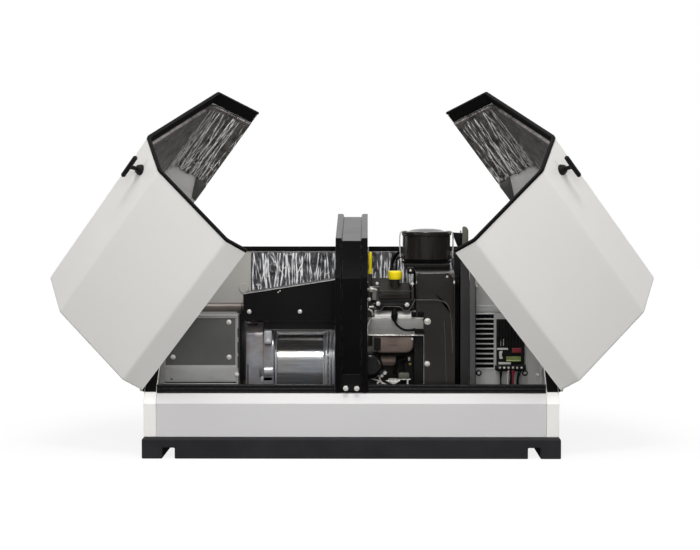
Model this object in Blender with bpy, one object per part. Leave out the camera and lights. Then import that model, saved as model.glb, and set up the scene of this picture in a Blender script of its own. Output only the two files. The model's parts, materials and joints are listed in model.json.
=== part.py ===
"""Home standby generator: a composite pad, a white steel body and two gull-wing lids that hinge along the
sloping tops of the end walls, over an air-cooled V-twin engine with its alternator, silencer and charger.

Metres, +Z up, front towards -Y, +X to the right. The origin is the middle of the pad's underside.
Every size is a named value below; all that seats or fits is worked out from those values and a clearance.
"""

import math

import bmesh
import bpy
from mathutils import Matrix, Vector

# --- driving sizes -----------------------------------------------------------------------------------
GAP = 0.0003                # between faces that touch
SHEET = 0.0025              # body and duct sheet

PAD_LENGTH = 1.220
PAD_DEPTH = 0.690
PAD_HEIGHT = 0.062
PAD_EDGE = 0.006            # bevel round the top
LIFT_SLOT_WIDTH = 0.036     # slots under the pad for lifting bars
LIFT_SLOT_HEIGHT = 0.032
LIFT_SLOT_INSET = 0.060

LID_SHEET = 0.003
END_X = PAD_LENGTH / 2 - 0.002      # outer face of the lids' end panels
WALL_X = END_X - LID_SHEET          # outer face of the fixed end walls
WALL_BOX = 0.036            # thickness of the boxed end walls
LIP_Y = -0.3145             # lower edge of the closed lids at the front
LIP_Z = 0.1915
SKIRT_Y = -0.348            # bottom of the main front panel
SKIRT_Z = 0.248
SHOULDER_Y = -0.333         # top of the main front panel
SHOULDER_Z = 0.531
BROW_Y = -0.244             # front edge of the roof
BROW_Z = 0.647
CREST_Y = 0.245             # rear edge of the roof, the highest line
CREST_Z = 0.7136
TAIL_Y = 0.331              # lower edge of the closed lids at the rear
TAIL_Z = 0.598

LID_OPEN_DEG = 56.7         # the lids stand open in the rest pose
RIM_X = 0.0215              # inner rim of each closed lid, from the middle
SEAL_WIDTH = 0.036
SEAL_THICKNESS = 0.0037
INSULATION = 0.012
INSULATION_RIM = 0.060      # the foil-faced lining starts here, from the middle

HINGE_LEAF = 0.002
HINGE_LEAF_WIDTH = 0.022
KNUCKLE_RADIUS = 0.0045
PIN_RADIUS = 0.0024
PIN_CLEARANCE = 0.0004
KNUCKLES = 7
HINGE_END_INSET = 0.014

LATCH_X = 0.090
LATCH_ALONG = 0.52          # place along the upper slope, 0 at the shoulder and 1 at the brow
LATCH_STEM_RADIUS = 0.006
LATCH_RISE = 0.040          # the T bar's axis above the skin
LATCH_BAR_LENGTH = 0.078
LATCH_BAR_RADIUS = 0.007
LATCH_BASE_RADIUS = 0.016
LATCH_BASE_HEIGHT = 0.014
PAWL_THICKNESS = 0.003
PAWL_WIDTH = 0.018

ARCH_HALF_WIDTH = 0.047
ARCH_RAIL_WIDTH = 0.016
ARCH_RECESS = 0.009
ARCH_DEPTH = 0.036
ARCH_SHEET = 0.002
FOOT_PLATE_HEIGHT = 0.055

BACK_Y = 0.303              # outer face of the back wall
BACK_TOP = 0.600

SHAFT_Y = 0.005             # crankshaft axis, along X
SHAFT_Z = 0.232
SHAFT_RADIUS = 0.0175
SHAFT_CLEARANCE = 0.0005

STATOR_RADIUS = 0.115
STATOR_BORE = 0.0635
STATOR_LEFT = -0.233
STATOR_RIGHT = -0.083
ROTOR_RADIUS = 0.062
ADAPTER_RADIUS = 0.118
BRACKET_RADIUS = 0.136
BRACKET_LEFT = -0.318
BEARING_BORE = 0.0130
BEARING_CLEARANCE = 0.0008

CASE_LEFT = -0.050
CASE_RIGHT = 0.186
CASE_RADIUS = 0.112
BANK_DEG = 40.0             # each cylinder leans this far from upright
BARREL_RADIUS = 0.046
FIN_RADIUS = 0.058
DECK = 0.118                # distances from the crankshaft axis along a cylinder
BARREL_END = 0.235
FINS = 6
HEAD_END = 0.292
COVER_END = 0.330
HEAD_WIDTH = 0.112
HEAD_DEPTH = 0.090
FRONT_CYLINDER_X = 0.129
REAR_CYLINDER_X = 0.100

BLOWER_LEFT = 0.190
BLOWER_RIGHT = 0.306
BLOWER_RADIUS = 0.228
BLOWER_TOP = 0.540
BLOWER_SHEET = 0.003
FLYWHEEL_RADIUS = 0.118
FLYWHEEL_WIDTH = 0.040

DIPSTICK_X = 0.055            # clear of the arch, past which the dipstick is drawn out
DIPSTICK_Y = -0.070
DIPSTICK_SEAT = 0.528
PORT_X = 0.020              # exhaust port on the crankcase side
PORT_TOP = 0.3335
FILTER_X = 0.054
FILTER_Z = 0.262
FILTER_RADIUS = 0.038
FILTER_FRONT = -0.245
FILTER_BACK = -0.150
CAP_X = 0.129
CAP_Y = -0.190
CAP_Z = 0.516
CAP_RADIUS = 0.021
BOOT_RADIUS = 0.0085
LEAD_RADIUS = 0.0035

CLEANER_X = 0.229
CLEANER_Y = 0.103
CLEANER_RADIUS = 0.074
CLEANER_BOTTOM = BLOWER_TOP + 0.022
CLEANER_TOP = CLEANER_BOTTOM + 0.090
CLEANER_LID = 0.012
CLIP_WIRE = 0.0018          # radius of the bail clips' wire
CLIP_HALF = 0.020
CLIP_OUT = 0.006

MUFFLER_LEFT = -0.560
MUFFLER_RIGHT = -0.337
MUFFLER_FRONT = -0.207
MUFFLER_BACK = 0.010
MUFFLER_TOP = 0.412
PIPE_RADIUS = 0.014
PIPE_Y = -0.120
PIPE_DROP = 0.018           # pipe axis above the silencer's top
INLET_X = -0.470            # right face of the silencer's inlet turret

WINDOW_LOW = 0.262          # lower edge of the silencer's front window
TURRET_LENGTH = 0.052       # the inlet turret on the silencer
TURRET_HALF = 0.024

PARTITION_LEFT_X = -0.329
PARTITION_LEFT_TOP = 0.440
PARTITION_RIGHT_X = 0.366
PARTITION_RIGHT_TOP = 0.500
PARTITION_FRONT = -0.215
BRACKET_TAB_TOP = CLEANER_TOP + 0.003

SHIELD_FRONT = -0.147
SHIELD_LEFT = -0.325
SHIELD_RIGHT = -0.050
SHIELD_LOW = 0.390
SHIELD_TOP_LEFT = 0.471
SHIELD_TOP_RIGHT = 0.514
SHIELD_DEPTH = 0.150
DUCT_LEFT = -0.263
DUCT_LOW = 0.362

PANEL_FRONT = -0.077        # front of the grey equipment panel on the right
PANEL_TOP = 0.500
PANEL_SLOTS = 11
PANEL_SLOT_LOW = 0.244
PANEL_SLOT_PITCH = 0.0150
PANEL_SLOT_HEIGHT = 0.0105
CHARGER_LEFT = 0.436
CHARGER_RIGHT = 0.520
CHARGER_LOW = 0.236
CHARGER_TOP = 0.392
CHARGER_DEPTH = 0.018
CHARGER_FINS = 9
CHARGER_FIN_PITCH = 0.0095
LOOM_RADIUS = 0.006
BATTERY_LEFT = 0.395
BATTERY_FRONT = -0.010
BATTERY_SIZE = (0.135, 0.200, 0.190)

WALL_LOUVRE_X = 0.35        # middle of each group of openings in the back wall
WALL_LOUVRE_HALF = 0.10
WALL_LOUVRE_LOW = 0.13
WALL_LOUVRE_PITCH = 0.022
WALL_LOUVRE_HEIGHT = 0.010
WALL_LOUVRES = 8
ENTRY_X = -0.349            # hole for the gas line or the supply cable
ENTRY_Z = 0.468
ENTRY_RADIUS = 0.016
LINING_LEFT = -0.325        # the foil on the back wall
LINING_RIGHT = 0.330
LINING_LOW = 0.34
LINING_THICKNESS = 0.010

RAIL_LEFT = -0.300          # the engine's two rails
RAIL_RIGHT = 0.180
FRONT_RAIL_Y = -0.115
REAR_RAIL_Y = 0.120
RAIL_HALF = 0.020
CROSS_BARS = (-0.285, 0.130)

ROUND = 24                  # sides of a round piece

# --- values that follow -------------------------------------------------------------------------------
LID_PROFILE = [(LIP_Y, LIP_Z), (SKIRT_Y, SKIRT_Z), (SHOULDER_Y, SHOULDER_Z),
               (BROW_Y, BROW_Z), (CREST_Y, CREST_Z), (TAIL_Y, TAIL_Z)]
SLOPE = math.atan2(TAIL_Z - LIP_Z, TAIL_Y - LIP_Y)
SLOPE_LENGTH = math.hypot(TAIL_Z - LIP_Z, TAIL_Y - LIP_Y)
HINGE_X = END_X + GAP + HINGE_LEAF + KNUCKLE_RADIUS
SEAL_INNER = LID_SHEET + GAP + SEAL_THICKNESS
ARCH_OFFSET = SEAL_INNER + GAP
FLOOR_TOP = PAD_HEIGHT + GAP + SHEET
WALL_IN = WALL_X - WALL_BOX
SEAT = FLOOR_TOP + GAP      # height of what stands on the floor pan


# --- tools --------------------------------------------------------------------------------------------
def clear_scene():
    for obj in list(bpy.data.objects):
        bpy.data.objects.remove(obj, do_unlink=True)


def finish(name, colour, roughness, metallic):
    """A Principled material."""
    made = bpy.data.materials.get(name) or bpy.data.materials.new(name)
    made.use_nodes = True
    shader = made.node_tree.nodes["Principled BSDF"]
    shader.inputs["Base Color"].default_value = (*colour, 1.0)
    shader.inputs["Roughness"].default_value = roughness
    shader.inputs["Metallic"].default_value = metallic
    return made


def mesh_object(name, bm, smooth=False):
    bmesh.ops.recalc_face_normals(bm, faces=bm.faces)
    mesh = bpy.data.meshes.new(name)
    bm.to_mesh(mesh)
    bm.free()
    if smooth:
        mesh.shade_smooth()
        mesh.set_sharp_from_angle(angle=math.radians(35))
    obj = bpy.data.objects.new(name, mesh)
    bpy.context.scene.collection.objects.link(obj)
    return obj


def combine(obj, helper_bm, operation):
    """Joins or cuts with a hidden helper, by an exact Boolean."""
    helper = mesh_object(f"{obj.name}_{operation.lower()}_{len(obj.modifiers)}", helper_bm)
    helper.hide_render = True
    helper.display_type = "WIRE"
    modifier = obj.modifiers.new(operation.lower(), "BOOLEAN")
    modifier.operation = operation
    modifier.solver = "EXACT"
    modifier.object = helper
    return helper


def piece(name, material, bm, joined=(), cuts=(), smooth=False, hinge=None):
    """One sub-part: a base solid, what is joined to it, what is cut from it, and the empty that carries it."""
    obj = mesh_object(name, bm, smooth)
    obj.data.materials.append(material)
    helpers = [combine(obj, helper_bm, "UNION") for helper_bm in joined]
    helpers += [combine(obj, helper_bm, "DIFFERENCE") for helper_bm in cuts]
    if hinge:
        for carried in (obj, *helpers):
            carried.parent = hinge
            carried.matrix_parent_inverse = Matrix.Translation(-hinge.location)
    return obj


def axis_empty(name, at, direction=(0, 1, 0), angle=0.0):
    """An empty on a joint's axis; what it carries is modelled shut and turned by the angle."""
    empty = bpy.data.objects.new(name, None)
    bpy.context.scene.collection.objects.link(empty)
    empty.matrix_world = Matrix.Translation(at) @ Matrix.Rotation(angle, 4, direction)
    return empty


def loft(bm, rings):
    """A closed solid through rings of as many points, with flat ends."""
    rows = [[bm.verts.new(point) for point in ring] for ring in rings]
    count = len(rows[0])
    for near, far in zip(rows, rows[1:]):
        for i in range(count):
            j = (i + 1) % count
            bm.faces.new((near[i], near[j], far[j], far[i]))
    bm.faces.new(rows[0][::-1])
    bm.faces.new(rows[-1])
    return bm


def box(x0, x1, y0, y1, z0, z1, bm=None):
    bm = bm or bmesh.new()
    floor = [(x0, y0), (x1, y0), (x1, y1), (x0, y1)]
    return loft(bm, [[(x, y, z) for x, y in floor] for z in (z0, z1)])


def prism(outline, x0, x1, bm=None):
    """An outline of (y, z) points run from x0 to x1."""
    return loft(bm or bmesh.new(), [[(x, y, z) for y, z in outline] for x in (x0, x1)])


def frame_on(axis):
    """Two directions square to an axis."""
    axis = Vector(axis).normalized()
    aside = Vector((0, 0, 1)) if abs(axis.z) < 0.9 else Vector((1, 0, 0))
    first = axis.cross(aside).normalized()
    return axis, first, axis.cross(first).normalized()


def turned(start, axis, profile, sides=ROUND, bm=None):
    """A turned solid: (distance along the axis, radius) pairs, from one flat end to the other."""
    axis, first, second = frame_on(axis)
    start = Vector(start)
    rings = []
    for along, radius in profile:
        ring = []
        for i in range(sides):
            angle = 2 * math.pi * i / sides
            ring.append(start + axis * along + (first * math.cos(angle) + second * math.sin(angle)) * radius)
        rings.append(ring)
    return loft(bm or bmesh.new(), rings)


def rod(start, end, radius, sides=ROUND, bm=None):
    start, end = Vector(start), Vector(end)
    return turned(start, end - start, [(0, radius), ((end - start).length, radius)], sides, bm)


def tube_ring(start, axis, length, outer, inner, sides=ROUND, bm=None):
    """A plain ring or pipe with a bore right through."""
    bm = bm or bmesh.new()
    axis, first, second = frame_on(axis)
    start = Vector(start)
    rows = []
    for along, radius in ((0, outer), (length, outer), (length, inner), (0, inner)):
        row = []
        for i in range(sides):
            angle = 2 * math.pi * i / sides
            row.append(bm.verts.new(start + axis * along
                                    + (first * math.cos(angle) + second * math.sin(angle)) * radius))
        rows.append(row)
    for near, far in zip(rows, rows[1:] + rows[:1]):
        for i in range(sides):
            j = (i + 1) % sides
            bm.faces.new((near[i], near[j], far[j], far[i]))
    return bm


def smooth_path(points, per_span):
    """A Catmull-Rom curve through the points."""
    points = [Vector(p) for p in points]
    ends = [2 * points[0] - points[1]] + points + [2 * points[-1] - points[-2]]
    path = []
    for a, b, c, d in zip(ends, ends[1:], ends[2:], ends[3:]):
        for step in range(per_span):
            t = step / per_span
            path.append(0.5 * (2 * b + (c - a) * t + (2 * a - 5 * b + 4 * c - d) * t * t
                               + (3 * b - a - 3 * c + d) * t ** 3))
    return path + [points[-1]]


def swept(path, radii, sides=12, bm=None):
    """A round bar along a path, its radius given at each point."""
    path = [Vector(p) for p in path]
    rings = []
    first = None
    for i, (point, radius) in enumerate(zip(path, radii)):
        tangent = (path[min(i + 1, len(path) - 1)] - path[max(i - 1, 0)]).normalized()
        if first is None:
            first = frame_on(tangent)[1]
        first = (first - tangent * first.dot(tangent)).normalized()
        second = tangent.cross(first)
        rings.append([point + (first * math.cos(2 * math.pi * k / sides)
                               + second * math.sin(2 * math.pi * k / sides)) * radius
                      for k in range(sides)])
    return loft(bm or bmesh.new(), rings)


def inset(profile, depth):
    """The open profile moved inwards by a depth, its corners mitred."""
    points = [Vector(p) for p in profile]
    normals = []
    for a, b in zip(points, points[1:]):
        along = (b - a).normalized()
        normals.append(Vector((along.y, -along.x)))
    moved = []
    for i, point in enumerate(points):
        before = normals[max(i - 1, 0)]
        after = normals[min(i, len(normals) - 1)]
        mitre = (before + after).normalized()
        moved.append(point + mitre * (depth / mitre.dot(after)))
    return [(p.x, p.y) for p in moved]


def along_profile(section, profile):
    """A closed section of (x, depth) points, run along the lid profile with mitred bends."""
    rows = [inset(profile, depth) for x, depth in section]
    return loft(bmesh.new(), [[(section[k][0], rows[k][i][0], rows[k][i][1]) for k in range(len(section))]
                              for i in range(len(profile))])


def sheet_outline(points, thickness):
    """A bent sheet's closed outline from its outer line."""
    return list(points) + inset(points, thickness)[::-1]


def trimmed(profile, start, end):
    """The profile with its first run shortened by start and its last by end."""
    points = [Vector(p) for p in profile]
    points[0] += (points[1] - points[0]).normalized() * start
    points[-1] += (points[-2] - points[-1]).normalized() * end
    return [(p.x, p.y) for p in points]


def parting_z(y):
    """Height of the sloping line between body and lids."""
    return LIP_Z + (y - LIP_Y) * math.tan(SLOPE)


# --- finishes -----------------------------------------------------------------------------------------
def finishes():
    return {
        "white": finish("white_powder_coat", (0.83, 0.83, 0.81), 0.42, 0.0),
        "pad": finish("charcoal_composite", (0.045, 0.045, 0.048), 0.75, 0.0),
        "black": finish("black_powder_coat", (0.015, 0.015, 0.016), 0.38, 0.0),
        "plastic": finish("black_plastic", (0.02, 0.02, 0.021), 0.45, 0.0),
        "rubber": finish("black_rubber", (0.012, 0.012, 0.012), 0.8, 0.0),
        "foil": finish("foil_insulation", (0.80, 0.80, 0.82), 0.22, 1.0),
        "steel": finish("plated_steel", (0.62, 0.62, 0.63), 0.28, 1.0),
        "grey": finish("grey_coated_steel", (0.42, 0.42, 0.41), 0.45, 0.2),
        "cast": finish("cast_aluminium", (0.60, 0.60, 0.61), 0.42, 1.0),
        "pipe": finish("heated_steel_pipe", (0.27, 0.24, 0.22), 0.45, 0.8),
        "yellow": finish("yellow_plastic", (0.86, 0.70, 0.03), 0.4, 0.0),
    }


# --- pad and body -------------------------------------------------------------------------------------
def base_pad(skin):
    half_x, half_y = PAD_LENGTH / 2, PAD_DEPTH / 2
    rings = []
    for inward, z in ((0, 0), (0, PAD_HEIGHT - PAD_EDGE), (PAD_EDGE, PAD_HEIGHT)):
        x, y = half_x - inward, half_y - inward
        rings.append([(-x, -y, z), (x, -y, z), (x, y, z), (-x, y, z)])
    slots = []
    for side in (-1, 1):
        middle = side * (half_x - LIFT_SLOT_INSET - LIFT_SLOT_WIDTH / 2)
        slots.append(box(middle - LIFT_SLOT_WIDTH / 2, middle + LIFT_SLOT_WIDTH / 2,
                         -half_y - 0.01, half_y + 0.01, -0.01, LIFT_SLOT_HEIGHT))
    piece("base_pad", skin["pad"], loft(bmesh.new(), rings), cuts=slots)


def floor_pan(skin):
    x, front, back = WALL_IN - GAP, front_panel_inner() + GAP, BACK_Y - SHEET - GAP
    pan = box(-x, x, front, back, PAD_HEIGHT + GAP, FLOOR_TOP)
    drains = bmesh.new()
    for at in (-0.34, 0.34):
        rod((at, 0.20, 0), (at, 0.20, 0.2), 0.012, 16, drains)
    piece("floor_pan", skin["black"], pan, cuts=[drains])


def front_line():
    """The outer line of the lower body's front: upright face, sloping top edge, return under the sill."""
    low, high = PAD_HEIGHT + GAP, LIP_Z - 0.0035
    return [(LIP_Y - 0.0165, low), (LIP_Y - 0.0205, high - 0.028), (LIP_Y - 0.0015, high)]


def front_panel_inner():
    return front_line()[0][0] + SHEET


def front_panel(skin):
    line = front_line()
    high = line[-1][1]
    line += [(LIP_Y + 0.030, high), (LIP_Y + 0.030, high - 0.020)]
    half = WALL_IN - GAP
    piece("front_panel", skin["white"], prism(sheet_outline(line, SHEET), -half, half))


def end_wall(side, name, skin):
    """A boxed end wall: an outer skin with a rim folded inwards all round, highest at the back."""
    low = PAD_HEIGHT + GAP
    drop = 0.0035
    line = front_line()
    outline = line + [(BACK_Y, parting_z(BACK_Y) - drop), (BACK_Y, low)]
    hollow = inset(outline + outline[:1], SHEET)
    first = inset([outline[-1], outline[0], outline[1]], SHEET)[1]
    hollow = [first] + hollow[1:-1]
    outer = prism(outline, side * WALL_IN, side * WALL_X)
    inner = prism(hollow, side * (WALL_IN - 0.01), side * (WALL_X - SHEET))
    piece(name, skin["white"], outer, cuts=[inner])


def back_wall(skin):
    half = WALL_IN - GAP
    wall = box(-half, half, BACK_Y - SHEET, BACK_Y, PAD_HEIGHT + GAP, BACK_TOP)
    openings = bmesh.new()
    for middle in (-WALL_LOUVRE_X, WALL_LOUVRE_X):
        for row in range(WALL_LOUVRES):
            z = WALL_LOUVRE_LOW + WALL_LOUVRE_PITCH * row
            box(middle - WALL_LOUVRE_HALF, middle + WALL_LOUVRE_HALF, BACK_Y - 0.02, BACK_Y + 0.02,
                z, z + WALL_LOUVRE_HEIGHT, openings)
    rod((ENTRY_X, BACK_Y - 0.02, ENTRY_Z), (ENTRY_X, BACK_Y + 0.02, ENTRY_Z), ENTRY_RADIUS, 16, openings)
    piece("back_wall", skin["white"], wall, cuts=[openings])


def back_insulation(skin):
    """The foil-faced lining on the back wall, with the bare strip left of it kept clear."""
    face = BACK_Y - SHEET - GAP
    pad = box(LINING_LEFT, LINING_RIGHT, face - LINING_THICKNESS, face, LINING_LOW, BACK_TOP - 0.016)
    piece("back_insulation", skin["foil"], pad)


def sill(side, name, skin):
    """The ribbed black sill along the top of the front panel, on one side of the arch."""
    low = front_line()[-1][1] + GAP
    front, back, high = LIP_Y + 0.0085, LIP_Y + 0.030, LIP_Z + 0.0215
    rib = (high - low) / 5
    line = [(front, low)]
    for k in range(1, 5):
        y0, y1 = (front, front + 0.003) if k % 2 else (front + 0.003, front)
        line += [(y0, low + rib * k), (y1, low + rib * k)]
    line += [(front, high), (back, high), (back, low)]
    near, far = ARCH_HALF_WIDTH + 0.003, WALL_IN - GAP
    piece(name, skin["plastic"], prism(line, side * near, side * far))


def arch_start():
    """How far the arch's foot lies along the skirt, so that its outer edge stands on the front panel."""
    along = (Vector(LID_PROFILE[1]) - Vector(LID_PROFILE[0])).normalized()
    foot = front_line()[-1][1] + GAP
    return (foot - LIP_Z + along.x * ARCH_OFFSET) / along.y


def arch_end():
    """How far the arch stops short of the tail, so that its end clears the top of the back wall."""
    along = (Vector(LID_PROFILE[-2]) - Vector(LID_PROFILE[-1])).normalized()
    corner = Vector((BACK_Y - SHEET, BACK_TOP + GAP / along.y))
    return (corner - Vector(LID_PROFILE[-1])).dot(along)


def centre_arch(skin):
    """The channel between the lids: two raised rails with a gutter between, bent over front, roof and rear."""
    w, rail, t = ARCH_HALF_WIDTH, ARCH_HALF_WIDTH - ARCH_RAIL_WIDTH, ARCH_SHEET
    top, low = ARCH_OFFSET, ARCH_OFFSET + ARCH_RECESS
    deep = ARCH_OFFSET + ARCH_DEPTH
    half = [(w, deep), (w, top), (rail, top), (rail - 0.003, low)]
    under = [(rail - 0.003 - t, low + t), (rail - t, top + t), (w - t, top + t), (w - t, deep)]
    section = half + [(-x, d) for x, d in reversed(half)]
    section += [(-x, d) for x, d in reversed(under)] + under
    arch = along_profile(section, trimmed(LID_PROFILE, arch_start(), arch_end()))
    piece("centre_arch", skin["black"], arch)


def arch_foot_plate(skin):
    """The plate that closes the foot of the gutter and takes two screws."""
    half = ARCH_HALF_WIDTH - ARCH_RAIL_WIDTH - 0.0035
    back = ARCH_OFFSET + ARCH_RECESS - GAP
    section = [(half, back - SHEET), (-half, back - SHEET), (-half, back), (half, back)]
    start = Vector(LID_PROFILE[0])
    run = (Vector(LID_PROFILE[1]) - start).normalized()
    first, last = start + run * arch_start(), start + run * FOOT_PLATE_HEIGHT
    piece("arch_foot_plate", skin["black"], along_profile(section, [(first.x, first.y), (last.x, last.y)]))


# --- lids ---------------------------------------------------------------------------------------------
def hinge_point(side):
    return Vector((side * HINGE_X, LIP_Y, LIP_Z - 0.0015))


def hinge_direction():
    return Vector((0, math.cos(SLOPE), math.sin(SLOPE)))


def lid_frame(side, label):
    """The lid turns about the line along the top of its end wall; the right lid opens about +direction."""
    return axis_empty(f"{label}_lid_hinge", hinge_point(side), hinge_direction(),
                      side * math.radians(LID_OPEN_DEG))


def latch_place():
    """Middle of the latch on the upper slope's outer face, and the way out of that face, in (y, z)."""
    low, high = Vector(LID_PROFILE[2]), Vector(LID_PROFILE[3])
    along = (high - low).normalized()
    return low + (high - low) * LATCH_ALONG, Vector((-along.y, along.x))


def at_latch(side, out):
    """The point on a latch's axis this far out of the skin."""
    place, normal = latch_place()
    point = place + normal * out
    return Vector((side * LATCH_X, point.x, point.y))


def lid_shell(side, label, skin, hinge):
    far = inset(LID_PROFILE, LID_SHEET)
    below = Vector((math.sin(SLOPE), -math.cos(SLOPE))) * 0.05
    open_side = [(far[-1][0] + below.x, far[-1][1] + below.y), (far[0][0] + below.x, far[0][1] + below.y)]
    outer = prism(LID_PROFILE, side * RIM_X, side * END_X)
    inner = prism(far + open_side, side * (RIM_X - 0.01), side * (END_X - LID_SHEET))
    hole = rod(at_latch(side, -0.02), at_latch(side, 0.02), LATCH_STEM_RADIUS + 0.001, 20)
    piece(f"{label}_lid_shell", skin["white"], outer, cuts=[inner, hole], hinge=hinge)


def lid_seal(side, label, skin, hinge):
    """The black foam band inside the rim, which lands on the arch's rails."""
    near, far = side * (RIM_X + 0.0005), side * (RIM_X + SEAL_WIDTH)
    depths = (LID_SHEET + GAP, SEAL_INNER)
    section = [(near, depths[0]), (far, depths[0]), (far, depths[1]), (near, depths[1])]
    band = along_profile(section, trimmed(LID_PROFILE, 0.003, 0.003))
    piece(f"{label}_lid_seal", skin["rubber"], band, hinge=hinge)


def lid_insulation(side, label, skin, hinge):
    """The foil-faced lining of roof, fronts, rear slope and the upper part of the end panel."""
    outer = inset(trimmed(LID_PROFILE, 0.012, 0.010), LID_SHEET + GAP)
    inner = inset(trimmed(LID_PROFILE, 0.012, 0.010), LID_SHEET + GAP + INSULATION)
    below = Vector((math.sin(SLOPE), -math.cos(SLOPE))) * 0.05
    open_side = [(inner[-1][0] + below.x, inner[-1][1] + below.y),
                 (inner[0][0] + below.x, inner[0][1] + below.y)]
    near, far = INSULATION_RIM, END_X - LID_SHEET - GAP
    lining = prism(outer, side * near, side * far)
    hollow = prism(inner + open_side, side * (near - 0.01), side * (far - INSULATION))
    bare_outline = [inner[0], inner[1], (inner[1][0] + 0.001, SHOULDER_Z - 0.12), inner[-1], *open_side]
    bare = prism(bare_outline, side * (near - 0.02), side * (far + 0.02))
    stem = rod(at_latch(side, -0.03), at_latch(side, 0.01), LATCH_STEM_RADIUS + 0.004, 20)
    piece(f"{label}_lid_insulation", skin["foil"], lining, cuts=[hollow, bare, stem], hinge=hinge)


def latch(side, label, skin, hinge):
    """The boss on the skin, and the T handle on its stem with the pawl at the inner end."""
    normal = at_latch(side, 1) - at_latch(side, 0)
    bore = LATCH_STEM_RADIUS + 0.0005
    radius = LATCH_BASE_RADIUS
    boss = turned(at_latch(side, GAP), normal, [(0, radius), (0.004, radius), (LATCH_BASE_HEIGHT, radius * 0.72)])
    piece(f"{label}_latch_base", skin["plastic"], boss,
          cuts=[rod(at_latch(side, -0.02), at_latch(side, 0.04), bore, 20)], smooth=True, hinge=hinge)
    inner = -(ARCH_OFFSET + ARCH_DEPTH + 0.0015 + PAWL_THICKNESS)
    stem = rod(at_latch(side, inner), at_latch(side, LATCH_RISE), LATCH_STEM_RADIUS, 20)
    half = Vector((LATCH_BAR_LENGTH / 2, 0, 0))
    middle = at_latch(side, LATCH_RISE)
    end = LATCH_BAR_RADIUS * 0.55
    bar = turned(middle - half, (1, 0, 0),
                 [(0, end), (0.004, LATCH_BAR_RADIUS), (LATCH_BAR_LENGTH - 0.004, LATCH_BAR_RADIUS),
                  (LATCH_BAR_LENGTH, end)], 20)
    reach = LATCH_X - ARCH_HALF_WIDTH + 0.008
    down = normal.cross(Vector((1, 0, 0))).normalized()
    if down.z > 0:
        down = -down
    rings = []
    for depth in (inner, inner + PAWL_THICKNESS):
        base = at_latch(side, depth)
        wide = Vector((PAWL_WIDTH / 2, 0, 0))
        rings.append([base - down * 0.010 - wide, base - down * 0.010 + wide,
                      base + down * reach + wide * 0.7, base + down * reach - wide * 0.7])
    pawl = loft(bmesh.new(), rings)
    piece(f"{label}_latch_handle", skin["plastic"], bar, joined=[stem, pawl], smooth=True, hinge=hinge)


def hinge_half(side, label, skin, fixed, hinge):
    """A leaf with every other knuckle; the fixed one lies on the end wall, the moving one on the lid."""
    origin, along = hinge_point(side), hinge_direction()
    up = Vector((0, -math.sin(SLOPE), math.cos(SLOPE)))
    length = SLOPE_LENGTH - 2 * HINGE_END_INSET
    pitch = length / KNUCKLES
    face = (WALL_X if fixed else END_X) + GAP
    way = -1 if fixed else 1

    def corner(x, u, v):
        return Vector((side * x, origin.y, origin.z)) + along * u + up * v

    def slab(u0, u1, v0, v1, x0, x1, bm=None):
        ring = [(v0, x0), (v1, x0), (v1, x1), (v0, x1)]
        return loft(bm or bmesh.new(), [[corner(x, u, v) for v, x in ring] for u in (u0, u1)])

    start = HINGE_END_INSET
    leaf = slab(start, start + length, way * (KNUCKLE_RADIUS + 0.001), way * HINGE_LEAF_WIDTH,
                face, face + HINGE_LEAF)
    knuckles, webs = bmesh.new(), bmesh.new()
    bore = PIN_RADIUS + PIN_CLEARANCE
    for k in range(0 if fixed else 1, KNUCKLES, 2):
        u0, u1 = start + pitch * k + 0.0005, start + pitch * (k + 1) - 0.0005
        tube_ring(origin + along * u0, along, u1 - u0, KNUCKLE_RADIUS, bore, 12, knuckles)
        # The web joggles out from the leaf to the knuckle, which stands proud of the wall, clear of the bore.
        slab(u0, u1, way * 0.0008, way * (KNUCKLE_RADIUS + 0.003), face, HINGE_X - bore - 0.0004, webs)
    name = f"{label}_hinge_{'fixed' if fixed else 'moving'}_leaf"
    piece(name, skin["black"], leaf, joined=[webs, knuckles], hinge=None if fixed else hinge)


def hinge_pin(side, label, skin):
    origin, along = hinge_point(side), hinge_direction()
    start, end = HINGE_END_INSET - 0.001, SLOPE_LENGTH - HINGE_END_INSET + 0.001
    head = PIN_RADIUS + 0.0015
    profile = [(start - 0.002, head), (start, head), (start, PIN_RADIUS), (end, PIN_RADIUS)]
    piece(f"{label}_hinge_pin", skin["steel"], turned(origin, along, profile, 12), smooth=True)


def lid(side, label, skin):
    hinge = lid_frame(side, label)
    lid_shell(side, label, skin, hinge)
    lid_seal(side, label, skin, hinge)
    lid_insulation(side, label, skin, hinge)
    latch(side, label, skin, hinge)
    hinge_half(side, label, skin, True, hinge)
    hinge_half(side, label, skin, False, hinge)
    hinge_pin(side, label, skin)


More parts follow.
